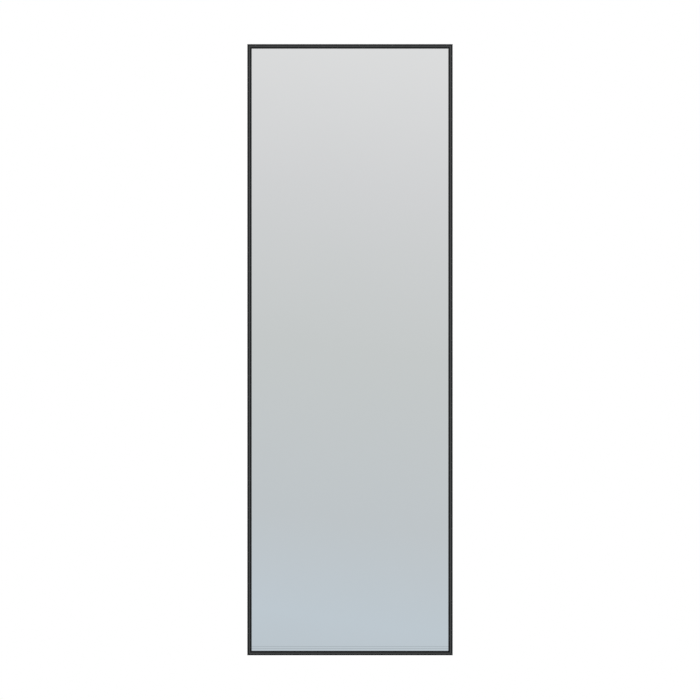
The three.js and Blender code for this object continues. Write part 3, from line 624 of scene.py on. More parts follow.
def corner_key(name, node_name):
    """A key drawn out of a block at its corner of the leaf, first along X and then along Z."""
    low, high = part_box(node_name)
    side_x = 1 if high.x > 0 else -1
    side_z = 1 if high.z > 0 else -1
    corner_x, corner_z = side_x * (leaf_high.x + MITRE_GAP), side_z * leaf_high.z
    near = (corner_x - side_x * KEY_OUTER, low.y, corner_z - side_z * KEY_OUTER)
    far = (corner_x - side_x * KEY_INNER, high.y, corner_z - side_z * KEY_INNER)
    key = block(near, far)
    edit(key)
    reach = KEY_LEG - KEY_INNER
    choose("faces", lambda face: face.normal.x * side_x < -FACING)
    push(-side_x * reach, 0, 0)
    choose(
        "faces",
        lambda face: face.normal.z * side_z < -FACING
        and abs(face.calc_center_median().x - corner_x) < KEY_INNER,
    )
    push(0, 0, -side_z * reach)
    for axis, side in ((0, side_x), (2, side_z)):
        choose(
            "faces",
            lambda face: face.normal[axis] * side < -FACING and face.calc_area() > KEY_CORED_AREA,
        )
        bpy.ops.mesh.inset(thickness=KEY_WALL)
        push(*along(axis, side * KEY_CORING))
    choose(
        "edges",
        lambda line: lies_along(line, 1)
        and line.is_convex
        and line.calc_length() > FACING * (high.y - low.y),
    )
    bpy.ops.mesh.bevel(offset=KEY_CORNER, segments=3)
    closed_up()
    fresh()
    holes = [
        drill(place, SCREW_HOLE, 1, low.y - SPARE, high.y + SPARE)
        for place in screw_places.values()
        if low.x < place.x < high.x and low.z < place.z < high.z
    ]
    combined(key, joined(holes))
    softened(key, KEY_EDGE)
    painted(key, name, cast_zinc)
    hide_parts(node_name)
    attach(key, "leaf")


for level in ("top", "bottom"):
    for end in ("front", "rear"):
        corner_key(f"key_{level}_{end}", f"corner_key_{level}_{end}")


# Screws. Countersunk and cross recessed, blackened steel, with a rolled thread and a blunt point.
# Eight pin the corner keys, and four hold the cross member between the stiles.
SCREW_PITCH = 0.00045
SCREW_CORE = 0.001
RECESS_HALF = 0.0012
RECESS_SLIT = 0.00024
RECESS_DEPTH = 0.0009
RECESS_ABOVE = 0.0002
RECESS_TAPER = (0.35, 1, 0.6)
SCREW_RIM = 0.0001
SCREW_RIM_DROP = 0.00008
SCREW_TIP = 0.0006
SCREW_TURN = 0.7
SCREW_EDGE = 0.00003

black_steel = grainy(
    "blackened_steel",
    1500.0,
    ((0.022, 0.022, 0.024), (0.045, 0.045, 0.047)),
    (0.32, 0.48),
    0.00002,
    metallic=0.85,
    wear=(0.0002, 0.8, (0.30, 0.30, 0.30)),
)


def copied(piece, place, turn):
    """A copy with its own mesh, turned about Y and then moved, all of it in the mesh."""
    take(piece)
    bpy.ops.object.duplicate()
    made = bpy.context.object
    made.rotation_euler = (0, turn, 0)
    made.location = place
    bpy.ops.object.transform_apply()
    return made


low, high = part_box("corner_screw_1")
length = high.y - low.y
thread = []
depth = SCREW_HEAD_DEPTH + SCREW_PITCH
while depth < length - 2 * SCREW_PITCH:
    thread += [(SCREW_CORE, -depth), (SCREW_RADIUS, -depth - SCREW_PITCH / 2)]
    depth += SCREW_PITCH
head = [
    (0, 0),
    (SCREW_HEAD_RADIUS - SCREW_RIM, 0),
    (SCREW_HEAD_RADIUS, -SCREW_RIM_DROP),
    (SCREW_RADIUS, -SCREW_HEAD_DEPTH),
]
point = [(SCREW_CORE, -depth), (SCREW_TIP, -length), (0, -length)]
screw = spun(head + thread + point, (0, 0, 0), Y, 24)
for turn in (0, math.pi / 2):
    deep = (-RECESS_HALF, -RECESS_DEPTH, -RECESS_SLIT)
    blade = block(deep, (RECESS_HALF, RECESS_ABOVE, RECESS_SLIT))
    edit(blade)
    choose("faces", lambda face: face.normal.y < -FACING)
    bpy.ops.transform.resize(value=RECESS_TAPER)
    take(blade)
    blade.rotation_euler = (0, turn, 0)
    bpy.ops.object.transform_apply()
    combined(screw, blade)
softened(screw, SCREW_EDGE, 1)
for number, (node_name, place) in enumerate(screw_places.items()):
    made = copied(screw, place, SCREW_TURN * number)
    painted(made, node_name.replace("corner", "key").replace("cross", "member"), black_steel)
    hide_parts(node_name)
    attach(made, "leaf")
bpy.data.objects.remove(screw)


# Mirror pane. Float glass 4 mm thick, silvered and lacquered behind, with its edge ground and its
# arrises taken off. It is dropped in from behind and lies against the front lip. Two faint darker
# lines are painted into its silvered face just above the lower lip, a painted reflection.
GLASS_ARRIS = 0.0003
PAINTED_REFLECTION_LINES = (-0.48575, -0.48903)
PAINTED_REFLECTION_LINE_HALF = 0.00035
FLAT = 0.99
PANE_EDGE = 0.00005

silvering, tree, shader = finish("silvered_glass", metallic=1.0)
broad = grained(tree, 300.0)[1]
colour = coloured(tree, shader, broad, (0.876, 0.897, 0.889), (0.884, 0.903, 0.896))
spot = node(tree, "TexCoord").outputs["Object"]
rise = node(tree, "SeparateXYZ", {"Vector": spot}).outputs["Z"]
# Painted reflection: two thin bands of the silvering are mixed to a darker grey.
lines = [calc(tree, "COMPARE", rise, line, PAINTED_REFLECTION_LINE_HALF) for line in PAINTED_REFLECTION_LINES]
wear_and_painted_light_to(tree, shader, colour, calc(tree, "MAXIMUM", *lines), (0.616, 0.632, 0.626))
roughened(tree, shader, broad, 0.002, 0.006)

edge_tones = ((0.30, 0.42, 0.38), (0.42, 0.54, 0.49))
ground_edge = grainy("ground_glass_edge", 1600.0, edge_tones, (0.40, 0.60), 0.00003)
lacquer_tones = ((0.15, 0.17, 0.18), (0.20, 0.22, 0.23))
lacquer = grainy("mirror_back_lacquer", 700.0, lacquer_tones, (0.35, 0.50), 0.00003)

pane = block(*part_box("mirror_glass"))
edit(pane)
bpy.ops.mesh.bevel(offset=GLASS_ARRIS, segments=1)
fresh()
softened(pane, PANE_EDGE, 1)
painted(pane, "mirror_pane", silvering, ground_edge, lacquer)
for face in pane.data.polygons:
    face.material_index = 0 if face.normal.y < -FLAT else 2 if face.normal.y > FLAT else 1
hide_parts("mirror_glass")
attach(pane, "leaf")


# Safety film and back board. The film is stuck to the lacquer, and holds the glass together if it
# breaks. The board is thin fibreboard with a dark paper face, and lies under the middle lip.
film_tones = ((0.28, 0.30, 0.31), (0.34, 0.36, 0.37))
film_vinyl = grainy("safety_film_vinyl", 800.0, film_tones, (0.35, 0.50), 0.00002)

board_paper, tree, shader = finish("dark_faced_fibreboard")
fine, broad = grained(tree, 900.0, (1.0, 1.0, 0.35))
colour = coloured(tree, shader, broad, (0.052, 0.053, 0.054), (0.074, 0.075, 0.077))
fibres = grained(tree, 2600.0, (0.25, 1.0, 1.0))[0]
wear_and_painted_light_to(tree, shader, colour, ranged(tree, fibres, 0.62, 0.75), (0.105, 0.107, 0.110))
roughened(tree, shader, fine, 0.62, 0.80)
bumped(tree, shader, fine, 0.00005)

for node_name, coat in (("safety_film", film_vinyl), ("back_board", board_paper)):
    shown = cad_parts[node_name].data.materials
    shown.clear()
    shown.append(coat)


# Cross member. Steel sheet, 2 mm, pressed to a shallow channel from stile to stile, slotted to
# lighten it and zinc plated. Its web carries the leaf's half of the swivel.
MEMBER_SHEET = 0.002
MEMBER_BEND = 0.0024
SLOT_SIZE = (0.0623, 0.040)
SLOT_PLACES = (-0.11183, -0.0315, 0.04883)
RIVET_HOLE = 0.0023
MEMBER_EDGE = 0.00025


def zinc_plate(name, gloss, scale=1100.0, stretch=(1, 1, 1), tone=1.0, relief=0.000025):
    """Bright zinc plating on steel, faintly clouded, and brighter where it is rubbed."""
    dull, bright = Vector((0.50, 0.52, 0.545)) * tone, Vector((0.64, 0.655, 0.67)) * tone
    wear = (0.0003, 0.7, (0.80, 0.80, 0.80))
    tones = (tuple(dull), tuple(bright))
    return grainy(name, scale, tones, gloss, relief, 1.0, wear, stretch, cloudy=True)


def mirrored(half):
    """A line of corners (a, b, radius), after its reflection in b."""
    return [*[(a, -b, *radius) for a, b, *radius in reversed(half)], *half]


def bent(line, rear, front, thickness, segments=6):
    """Sheet bent along X: a line of corners (y, z, bend radius) drawn out, folded and thickened."""
    piece = traced([(rear, corner[0], corner[1]) for corner in line])
    push(front - rear, 0, 0)
    for before, corner, after in zip(line, line[1:], line[2:]):
        inward = Vector((corner[0] - before[0], corner[1] - before[1]))
        outward = Vector((after[0] - corner[0], after[1] - corner[1]))
        fold = inward.angle(outward)
        choose(
            "edges",
            lambda edge: lies_along(edge, 0)
            and abs(middle(edge).y - corner[0]) < SAME
            and abs(middle(edge).z - corner[1]) < SAME,
        )
        bpy.ops.mesh.bevel(offset=corner[2] * math.tan(fold / 2), segments=segments)
    choose_all()
    bpy.ops.mesh.normals_make_consistent(inside=False)
    fresh()
    return modified(piece, "SOLIDIFY", thickness=thickness, offset=0, use_even_offset=True)


def plate(outline, axis, low, high, segments=6):
    """A flat outline of corners (a, b, radius), filled, rounded, and drawn out along an axis."""
    across = [other for other in range(3) if other != axis]
    corners = []
    for corner in outline:
        place = along(axis, low)
        place[across[0]], place[across[1]] = corner[:2]
        corners.append(place)
    piece = traced(corners)
    bpy.ops.mesh.edge_face_add()
    for i, corner in enumerate(outline):
        if len(corner) == 3:
            here = corners[i]
            following = corners[(i + 1) % len(corners)]
            turn = (here - corners[i - 1]).angle(following - here)
            choose("verts", lambda vert: (vert.co - here).length < SAME)
            bpy.ops.mesh.bevel(
                offset=corner[2] * math.tan(turn / 2), segments=segments, affect="VERTICES"
            )
    choose_all()
    bpy.ops.mesh.remove_doubles(threshold=SAME)
    push(*along(axis, high - low))
    closed_up()
    fresh()
    return piece


def long_hole(place, length, height, low, high):
    """A slot tool with round ends, long along X, that cuts through in Y."""
    x, z = place
    half, radius = length / 2, height / 2
    corners = ((-half, -radius), (half, -radius), (half, radius), (-half, radius))
    return plate([(x + a, z + b, radius) for a, b in corners], 1, low, high, 12)


member_zinc = zinc_plate("member_zinc", (0.32, 0.48), stretch=(0.15, 1, 1), tone=0.84)
low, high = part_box("cross_member")
web_y = high.y - MEMBER_SHEET / 2
flange_z = high.z - MEMBER_SHEET / 2
fold = mirrored([(web_y, flange_z, MEMBER_BEND), (low.y, flange_z)])
member = bent(fold, low.x, high.x, MEMBER_SHEET)
cuts = [long_hole((x, 0), *SLOT_SIZE, low.y, high.y + SPARE) for x in SLOT_PLACES]
for i in range(1, 5):
    for place, radius in (
        (centre(f"leaf_rivet_{i}"), RIVET_HOLE),
        (screw_places[f"cross_screw_{i}"], SCREW_HOLE),
    ):
        cuts.append(drill(place, radius, 1, low.y, high.y + SPARE))
combined(member, joined(cuts))
softened(member, MEMBER_EDGE)
painted(member, "channel_member", member_zinc)
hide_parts("cross_member")
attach(member, "leaf")


# Swivel brackets. Steel sheet, 3 mm, blanked and bent to a U, with an ear above and below for the
# bolt, and powder coated. The wide one is riveted to the cross member, and the long one, the fork,
# to the slide.
BRACKET_SHEET = 0.003
BRACKET_BEND = 0.003
EAR_RADIUS = 0.008
EAR_ROOT = 0.022
EAR_LEDGE = 0.0003
BRACKET_CORNER = 0.006
CORNER_SPARE = 0.0005
PIVOT_HOLE = 0.0043
FORK_TALL = 0.034
FORK_TAPER = 0.026
FORK_TAIL = 0.017
BRACKET_EDGE = 0.0003

bracket_coat = black_coat("bracket_powder_coat")[0]
low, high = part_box("pivot_bolt")
axis_x, axis_y = (low.x + high.x) / 2, (low.y + high.y) / 2


def eared_bracket(node_name, side, rivets, upper_half):
    """A bent bracket, from half its face. Its ears reach for the wall (side 1) or away (-1)."""
    low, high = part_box(node_name)
    seat_y = low.y if side > 0 else high.y
    web_y = seat_y + side * BRACKET_SHEET / 2
    face_y = seat_y + side * BRACKET_SHEET
    tip_y = axis_y + side * EAR_RADIUS
    ear_z = high.z - BRACKET_SHEET / 2
    fold = mirrored([(web_y, ear_z, BRACKET_BEND), (tip_y + side * SPARE, ear_z)])
    bracket = bent(fold, low.x - SPARE, high.x + SPARE, BRACKET_SHEET)
    back_y = seat_y - side * SPARE
    root_y = face_y + side * EAR_LEDGE
    from_above = [
        (low.x - 2 * SPARE, back_y),
        (high.x + 2 * SPARE, back_y),
        (high.x + 2 * SPARE, root_y),
        (axis_x + EAR_RADIUS, root_y),
        (axis_x + EAR_RADIUS, tip_y, EAR_RADIUS),
        (axis_x - EAR_RADIUS, tip_y, EAR_RADIUS),
        (axis_x - EAR_RADIUS, axis_y),
        (axis_x - EAR_ROOT, root_y, EAR_RADIUS),
        (low.x - 2 * SPARE, root_y),
    ]
    if high.x < axis_x + EAR_RADIUS + SPARE:
        from_above[1:4] = [(high.x, back_y)]
    combined(bracket, plate(from_above, 2, low.z - SPARE, high.z + SPARE, 12), "INTERSECT")
    face = plate(mirrored(upper_half), 1, low.y - SPARE, high.y + SPARE, 8)
    combined(bracket, face, "INTERSECT")
    holes = [drill((axis_x, axis_y, 0), PIVOT_HOLE, 2, low.z - SPARE, high.z + SPARE, 48)]
    holes += [drill(centre(f"{rivets}_{i}"), RIVET_HOLE, 1, low.y, high.y) for i in range(1, 5)]
    return softened(combined(bracket, joined(holes)), BRACKET_EDGE)


low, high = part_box("leaf_bracket")
top = high.z + CORNER_SPARE
upper_half = [(high.x, top), (low.x, top, BRACKET_CORNER)]
leaf_plate = eared_bracket("leaf_bracket", 1, "leaf_rivet", upper_half)
painted(leaf_plate, "leaf_ear_bracket", bracket_coat)
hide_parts("leaf_bracket")
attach(leaf_plate, "leaf")

low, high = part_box("swivel_fork")
tall_x, top = high.x - FORK_TALL, high.z + CORNER_SPARE
upper_half = [
    (high.x + 2 * SPARE, top),
    (tall_x, top, BRACKET_CORNER),
    (tall_x - FORK_TAPER, FORK_TAIL, FORK_TAPER),
    (low.x, FORK_TAIL, BRACKET_CORNER),
]
fork = eared_bracket("swivel_fork", -1, "fork_rivet", upper_half)
painted(fork, "slide_fork", bracket_coat)
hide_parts("swivel_fork")
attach(fork, "carriage")


# Rivets. Zinc-plated steel with low domed heads, set cold. Four join the wide bracket to the cross
# member, and four join the fork to the slide's inner rail.
RIVET_RADIUS = 0.002
RIVET_HEAD_RADIUS = 0.0037
RIVET_HEAD_HEIGHT = 0.0015
RIVET_RIM = 0.0003
RIVET_EDGE = 0.00006
DOME_STEPS = 6

fastener_zinc = zinc_plate("fastener_zinc", (0.20, 0.34), 1500.0, relief=0.000008)


def domed(base, way):
    """Half the outline of a rivet's head, from its rim to its crown."""
    dome = [(RIVET_HEAD_RADIUS, base)]
    for i in range(DOME_STEPS + 1):
        angle = i * math.pi / 2 / DOME_STEPS
        rise = RIVET_RIM + (RIVET_HEAD_HEIGHT - RIVET_RIM) * math.sin(angle)
        dome.append((RIVET_HEAD_RADIUS * math.cos(angle), base + way * rise))
    dome[-1] = (0, base + way * RIVET_HEAD_HEIGHT)
    return dome


for group, body in (("leaf", "leaf"), ("fork", "carriage")):
    low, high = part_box(f"{group}_rivet_1")
    grip = (high.y - low.y) - 2 * RIVET_HEAD_HEIGHT
    profile = [
        *reversed(domed(0, -1)),
        (RIVET_RADIUS, 0),
        (RIVET_RADIUS, grip),
        *domed(grip, 1),
    ]
    rivet = softened(spun(profile, (0, 0, 0), Y), RIVET_EDGE, 1)
    for i in range(1, 5):
        low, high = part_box(f"{group}_rivet_{i}")
        place = ((low.x + high.x) / 2, low.y + RIVET_HEAD_HEIGHT, (low.z + high.z) / 2)
        made = painted(copied(rivet, place, 0), f"{group}_plate_rivet_{i}", fastener_zinc)
        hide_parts(f"{group}_rivet_{i}")
        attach(made, body)
    bpy.data.objects.remove(rivet)


# Slide rails. Three strips of 1.2 mm steel, roll formed one inside the other, each with two V
# grooves that the balls run in, and zinc plated. The outer one screws to the closet's wall through
# its web, and the windows in the others let the screwdriver through.
RAIL_SHEET = 0.0012
RAIL_BEND = 0.001
RAIL_LIP = 0.0026
BALL_RADIUS = 0.00238
BALL_GAP = 0.00015
BALL_SHOULDER = 0.00057
GROOVE_ANGLE = math.radians(25)
GROOVE_SLOPE = math.tan(GROOVE_ANGLE)
GROOVE_RADIUS = BALL_RADIUS + BALL_GAP + RAIL_SHEET / 2
GROOVE_DEPTH = GROOVE_RADIUS / math.cos(GROOVE_ANGLE)
GROOVE_HALF = BALL_RADIUS + BALL_SHOULDER
MOUNT_HOLE = 0.0023
MOUNT_SLOT = (0.010, 0.0046)
WINDOW = (0.018, 0.009)
PEG_HOLE = 0.0028
MOUNT_PLACES = (-0.128, -0.064, 0.064, 0.128)
MOUNT_SLOT_PLACES = (-0.096, 0.096)
LUG_PLACE = (0.1476, 0.008)
LUG_RADII = (0.0018, 0.0012)
LUG_HEIGHT = 0.0009
LUG_ROOT = 0.0003
DIMPLE_DEPTHS = (0.0005, 0.0012, 0.0018)
WEB_CUT = (-0.002, 0.002)
WALL_CUT = (-0.003, SPARE)
RAIL_EDGE = 0.00018

rail_zinc = zinc_plate("rail_zinc", (0.22, 0.40), 1600.0, (0.05, 1, 1))
ball_rows = {}
for stage in ("outer", "inner"):
    low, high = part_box(f"{stage}_ball_retainer")
    ball_rows[stage] = (low.y + BALL_RADIUS, high.z - BALL_RADIUS)
outer_y, outer_z = ball_rows["outer"]
inner_y, inner_z = ball_rows["inner"]


def rail(name, node_name, body, upper_half, web_y, cuts):
    """A rail, folded from the upper half of its section. Two have lugs pressed out."""
    low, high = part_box(node_name)
    made = bent(mirrored(upper_half), low.x, high.x, RAIL_SHEET)
    if node_name != "inner_rail":
        face = web_y - RAIL_SHEET / 2
        for z in (-LUG_PLACE[1], LUG_PLACE[1]):
            place = (LUG_PLACE[0], face, z)
            wide, narrow = LUG_RADII
            tip = -LUG_HEIGHT
            lug = ((0, LUG_ROOT), (wide, LUG_ROOT), (wide, 0), (narrow, tip), (0, tip))
            combined(made, spun(lug, place, Y, 24), "UNION")
            end, mouth, above = DIMPLE_DEPTHS
            dimple = ((0, above), (wide, above), (wide, mouth), (narrow, end), (0, end))
            combined(made, spun(dimple, place, Y, 24))
    combined(made, joined(cuts))
    softened(made, RAIL_EDGE)
    painted(made, name, rail_zinc)
    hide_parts(node_name)
    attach(made, body)


web_y = -RAIL_SHEET / 2
cuts = [drill((x, 0, 0), MOUNT_HOLE, 1, *WALL_CUT) for x in MOUNT_PLACES]
cuts += [long_hole((x, 0), *MOUNT_SLOT, *WALL_CUT) for x in MOUNT_SLOT_PLACES]
cuts.append(drill((centre("rear_bumper").x, 0, 0), PEG_HOLE, 1, *WALL_CUT))
rail(
    "wall_strip",
    "outer_rail",
    "wall_rail",
    [
        (web_y, outer_z + GROOVE_DEPTH - (web_y - outer_y) * GROOVE_SLOPE, RAIL_BEND),
        (outer_y, outer_z + GROOVE_DEPTH, GROOVE_RADIUS),
        (outer_y - RAIL_LIP, outer_z + GROOVE_DEPTH - RAIL_LIP * GROOVE_SLOPE),
    ],
    web_y,
    cuts,
)

web_y = outer_y + GROOVE_HALF
reach = [web_y + depth for depth in WEB_CUT]
cuts = [long_hole((x, 0), *WINDOW, *reach) for x in MOUNT_PLACES]
rail(
    "middle_strip",
    "middle_rail",
    "middle_stage",
    [
        (web_y, outer_z - GROOVE_DEPTH + GROOVE_HALF * GROOVE_SLOPE, RAIL_BEND),
        (outer_y, outer_z - GROOVE_DEPTH, GROOVE_RADIUS),
        (inner_y, inner_z + GROOVE_DEPTH, GROOVE_RADIUS),
        (inner_y - RAIL_LIP, inner_z + GROOVE_DEPTH - RAIL_LIP * GROOVE_SLOPE),
    ],
    web_y,
    cuts,
)

web_y = inner_y - GROOVE_HALF
reach = [web_y + depth for depth in WEB_CUT]
cuts = [long_hole((x, 0), *WINDOW, *reach) for x in MOUNT_PLACES[:2]]
cuts += [drill(centre(f"fork_rivet_{i}"), RIVET_HOLE, 1, *reach) for i in range(1, 5)]
rail(
    "inner_strip",
    "inner_rail",
    "carriage",
    [
        (web_y, inner_z - GROOVE_DEPTH + GROOVE_HALF * GROOVE_SLOPE, RAIL_BEND),
        (inner_y, inner_z - GROOVE_DEPTH, GROOVE_RADIUS),
        (inner_y + RAIL_LIP, inner_z - GROOVE_DEPTH + RAIL_LIP * GROOVE_SLOPE),
    ],
    web_y,
    cuts,
)


# Ball retainers. Each is a U of 0.6 mm steel, with a row of pierced pockets in both flanges and a
# hardened ball snapped into every pocket. They run between the rails at their own pace.
RETAINER_SHEET = 0.0006
RETAINER_GRIP = 0.0019
RETAINER_STRAP = 0.012
RETAINER_WINDOW = 0.014
RETAINER_WINDOW_ROUND = 0.003
RETAINER_WEBS = {"outer": -0.0018, "inner": -0.0042}
RETAINER_EDGE = 0.00008
BALLS_PER_ROW = 7
POCKET_RADIUS = 0.00248

retainer_zinc = zinc_plate("retainer_zinc", (0.30, 0.46), 1300.0, (0.2, 1, 1))
ball_tones = ((0.58, 0.58, 0.57), (0.70, 0.70, 0.69))
ball_steel = grainy("hardened_ball_steel", 1800.0, ball_tones, (0.06, 0.16), metallic=1.0)

for stage, web_y in RETAINER_WEBS.items():
    node_name = f"{stage}_ball_retainer"
    low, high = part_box(node_name)
    ball_y, ball_z = ball_rows[stage]
    fold = mirrored([(web_y, ball_z, RETAINER_SHEET), (ball_y - RETAINER_GRIP, ball_z)])
    strip = bent(fold, low.x, high.x, RETAINER_SHEET)
    pitch = (high.x - low.x) / BALLS_PER_ROW
    row = [low.x + (i + 0.5) * pitch for i in range(BALLS_PER_ROW)]
    reach = (-high.z - SPARE, high.z + SPARE)
    cuts = [drill((x, ball_y, 0), POCKET_RADIUS, 2, *reach, 32) for x in row]
    window_low, window_high = low.x + RETAINER_STRAP, high.x - RETAINER_STRAP
    half = RETAINER_WINDOW / 2
    corners = ((window_low, -half), (window_high, -half), (window_high, half), (window_low, half))
    window = [(a, b, RETAINER_WINDOW_ROUND) for a, b in corners]
    cuts.append(plate(window, 1, web_y - SPARE, web_y + SPARE))
    combined(strip, joined(cuts))
    softened(strip, RETAINER_EDGE, 1)
    painted(strip, f"{stage}_pocket_strip", retainer_zinc)
    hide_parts(node_name)
    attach(strip, f"{stage}_retainer")
    loose = []
    for x in row:
        for z in (-ball_z, ball_z):
            fresh()
            bpy.ops.mesh.primitive_uv_sphere_add(
                segments=24, ring_count=14, radius=BALL_RADIUS, location=(x, ball_y, z)
            )
            bpy.ops.object.transform_apply()
            bpy.ops.object.shade_smooth()
            loose.append(bpy.context.object)
    balls = painted(joined(loose), f"{stage}_balls", ball_steel)
    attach(balls, f"{stage}_retainer")


# Rear bumper. Moulded black nylon, hollowed at the front, with a peg snapped through the outer
# rail's web. The moving rails come to rest against it.
BUMPER_ROUND = 0.002
BUMPER_WALL = 0.0017
BUMPER_HOLLOW = 0.005
BUMPER_DRAFT = (0.85, 1, 0.92)
BUMPER_EDGE = 0.0002
PEG_RADIUS = 0.0025
PEG_CHAMFER = 0.0003

moulded_black = grainy(
    "moulded_black_nylon",
    1700.0,
    ((0.016, 0.0165, 0.0185), (0.024, 0.0245, 0.027)),
    (0.40, 0.58),
    0.00004,
    wear=(0.0004, 0.4, (0.07, 0.07, 0.075)),
)

low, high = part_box("rear_bumper")
back = -RAIL_SHEET
bumper = block(low, (high.x, back, high.z))
edit(bumper)
choose("edges", lambda line: lies_along(line, 0) and abs(middle(line).y - low.y) < CLOSE)
bpy.ops.mesh.bevel(offset=BUMPER_ROUND, segments=5)
choose("faces", lambda face: face.normal.y < -FLAT)
bpy.ops.mesh.inset(thickness=BUMPER_WALL)
push(0, BUMPER_HOLLOW, 0)
bpy.ops.transform.resize(value=BUMPER_DRAFT)
closed_up()
fresh()
peg = (
    (0, back - SPARE),
    (PEG_RADIUS, back - SPARE),
    (PEG_RADIUS, -PEG_CHAMFER),
    (PEG_RADIUS - PEG_CHAMFER, 0),
    (0, 0),
)
combined(bumper, spun(peg, ((low.x + high.x) / 2, 0, 0), Y), "UNION")
softened(bumper, BUMPER_EDGE)
painted(bumper, "moulded_bumper", moulded_black)
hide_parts("rear_bumper")
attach(bumper, "wall_rail")


# Friction washers and disc spring. Two turned nylon washers lie between the ears, and a coned
# spring of hard steel under the lower ear keeps them pressed, so the leaf stays where it is put.
SPRING_SHEET = 0.0008
WASHER_EDGE = 0.00015

nylon_tones = ((0.70, 0.68, 0.61), (0.78, 0.765, 0.70))
nylon = grainy("natural_nylon", 1500.0, nylon_tones, (0.38, 0.55), 0.00003)
nylon_sockets = nylon.node_tree.nodes["Principled BSDF"].inputs
nylon_sockets["Subsurface Weight"].default_value = 0.1
nylon_sockets["Subsurface Scale"].default_value = 0.001
spring_steel = zinc_plate("spring_steel", (0.20, 0.34), 1500.0, relief=0.000008)

for node_name, name, material, slot in (
    ("upper_friction_washer", "upper_nylon_washer", nylon, "washer"),
    ("lower_friction_washer", "lower_nylon_washer", nylon, "washer"),
    ("disc_spring", "coned_spring", spring_steel, "bolt"),
):
    low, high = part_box(node_name)
    outer = (high.x - low.x) / 2
    sheet = SPRING_SHEET if slot == "bolt" else high.z - low.z
    cone = high.z - low.z - sheet
    profile = (
        (PIVOT_HOLE, low.z),
        (outer, low.z + cone),
        (outer, low.z + cone + sheet),
        (PIVOT_HOLE, low.z + sheet),
        (PIVOT_HOLE, low.z),
    )
    made = softened(spun(profile, (axis_x, axis_y, 0), Z, 64), WASHER_EDGE)
    painted(made, name, material)
    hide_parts(node_name)
    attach(made, "carriage")


# Pivot bolt. A zinc-plated socket-head bolt with a knurled head, dropped through the ears from
# above, its thread rolled on the last stretch.
BOLT_RADIUS = 0.004
BOLT_CORE = 0.0035
BOLT_PITCH = 0.00125
BOLT_CHAMFER = 0.0007
HEAD_RADIUS = 0.0065
HEAD_HEIGHT = 0.005
HEAD_FOOT = 0.0006
HEAD_TUCK = 0.0003
SOCKET_WIDTH = 0.005
SOCKET_DEPTH = 0.0026
KNURLS = 42
KNURL_DEPTH = 0.965
BOLT_EDGE = 0.00008

low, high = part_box("pivot_bolt")
seat = high.z - HEAD_HEIGHT
thread_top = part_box("pivot_nut")[1].z
thread = []
height = thread_top
while height > low.z + BOLT_PITCH:
    thread += [(BOLT_RADIUS, height), (BOLT_CORE, height - BOLT_PITCH / 2)]
    height -= BOLT_PITCH
profile = [
    (0, high.z),
    (HEAD_RADIUS - BOLT_CHAMFER, high.z),
    (HEAD_RADIUS, high.z - BOLT_CHAMFER),
    (HEAD_RADIUS, seat + HEAD_FOOT),
    (HEAD_RADIUS - HEAD_TUCK, seat),
    (BOLT_RADIUS, seat),
    *thread,
    (BOLT_RADIUS, height),
    (BOLT_RADIUS - BOLT_CHAMFER, low.z),
    (0, low.z),
]
bolt = spun(profile, (axis_x, axis_y, 0), Z, 2 * KNURLS)
edit(bolt)


def in_knurl(vert):
    """Whether this vertex is a valley of the knurl: every second one round the head."""
    out = vert.co.xy - Vector((axis_x, axis_y))
    step = round(math.atan2(out.y, out.x) / (math.pi / KNURLS))
    return abs(out.length - HEAD_RADIUS) < CLOSE and step % 2 == 1


def hexagon(corner):
    """A hexagon round the swivel's axis, its corners this far out."""
    turns = [i * math.pi / 3 for i in range(6)]
    return [(axis_x + corner * math.cos(turn), axis_y + corner * math.sin(turn)) for turn in turns]


choose("verts", in_knurl)
bpy.ops.transform.resize(value=(KNURL_DEPTH, KNURL_DEPTH, 1))
fresh()
socket = hexagon(SOCKET_WIDTH / 2 / math.cos(math.pi / 6))
combined(bolt, plate(socket, 2, high.z - SOCKET_DEPTH, high.z + SPARE))
softened(bolt, BOLT_EDGE, 1)
painted(bolt, "swivel_bolt", fastener_zinc)
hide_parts("pivot_bolt")
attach(bolt, "carriage")


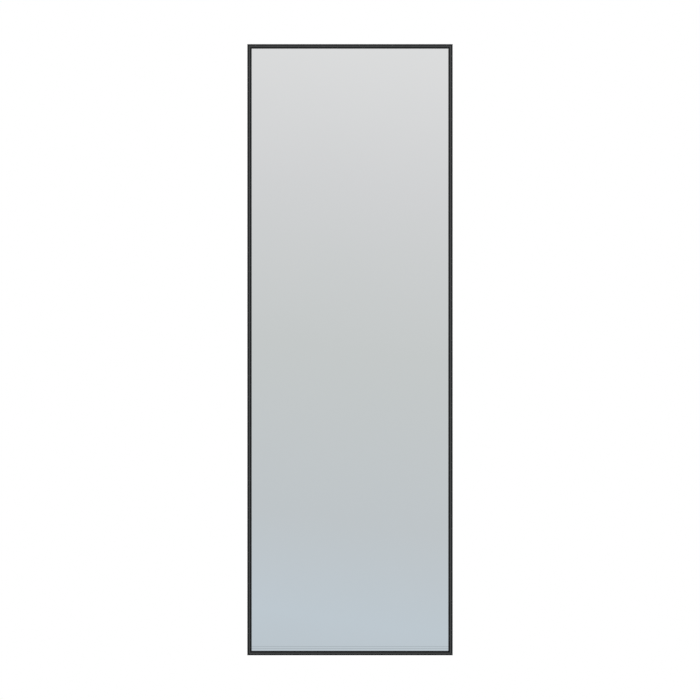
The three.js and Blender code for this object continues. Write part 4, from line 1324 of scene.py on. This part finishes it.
# Lock nut. A zinc-plated hexagon turned down at its corners, with a collar that is crimped over a
# nylon ring. The ring grips the thread, so the nut keeps the spring's squeeze.
NUT_WIDTH = 0.013
NUT_CHAMFER = 0.0006
COLLAR_RADIUS = 0.0055
COLLAR_HEIGHT = 0.0015
RING_RADIUS = 0.0048
RING_BORE = 0.00405
RING_SETBACK = 0.0002
COLLAR_CRIMP = 0.0004
NUT_CUTTER = 1.1
NUT_EDGE = 0.00012
RING_EDGE = 0.0001

low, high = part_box("pivot_nut")
bottom = low.z + COLLAR_HEIGHT
corner = NUT_WIDTH / 2 / math.cos(math.pi / 6)
nut = plate(hexagon(corner), 2, bottom - SPARE, high.z + SPARE)
wide = NUT_CUTTER * corner
drop = NUT_CHAMFER * (wide - NUT_WIDTH / 2) / (corner - NUT_WIDTH / 2)
turned_down = (
    (0, bottom),
    (NUT_WIDTH / 2, bottom),
    (wide, bottom + drop),
    (wide, high.z - drop),
    (NUT_WIDTH / 2, high.z),
    (0, high.z),
)
axis_place = (axis_x, axis_y, 0)
combined(nut, spun(turned_down, axis_place, Z, 64), "INTERSECT")
collar = (
    (0, bottom + SPARE),
    (COLLAR_RADIUS, bottom + SPARE),
    (COLLAR_RADIUS, low.z + COLLAR_CRIMP),
    (COLLAR_RADIUS - COLLAR_CRIMP, low.z),
    (0, low.z),
)
combined(nut, spun(collar, axis_place, Z, 64), "UNION")
bore = (
    (0, low.z - SPARE),
    (RING_RADIUS, low.z - SPARE),
    (RING_RADIUS, bottom),
    (PIVOT_HOLE, bottom),
    (PIVOT_HOLE, high.z + SPARE),
    (0, high.z + SPARE),
)
combined(nut, spun(bore, axis_place, Z, 48))
softened(nut, NUT_EDGE)
painted(nut, "swivel_lock_nut", fastener_zinc)
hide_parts("pivot_nut")
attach(nut, "carriage")

ring = (
    (RING_BORE, low.z + RING_SETBACK),
    (RING_RADIUS, low.z + RING_SETBACK),
    (RING_RADIUS, low.z + COLLAR_HEIGHT),
    (RING_BORE, low.z + COLLAR_HEIGHT),
    (RING_BORE, low.z + RING_SETBACK),
)
insert = softened(spun(ring, axis_place, Z, 48), RING_EDGE)
painted(insert, "lock_nut_ring", nylon)
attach(insert, "carriage")
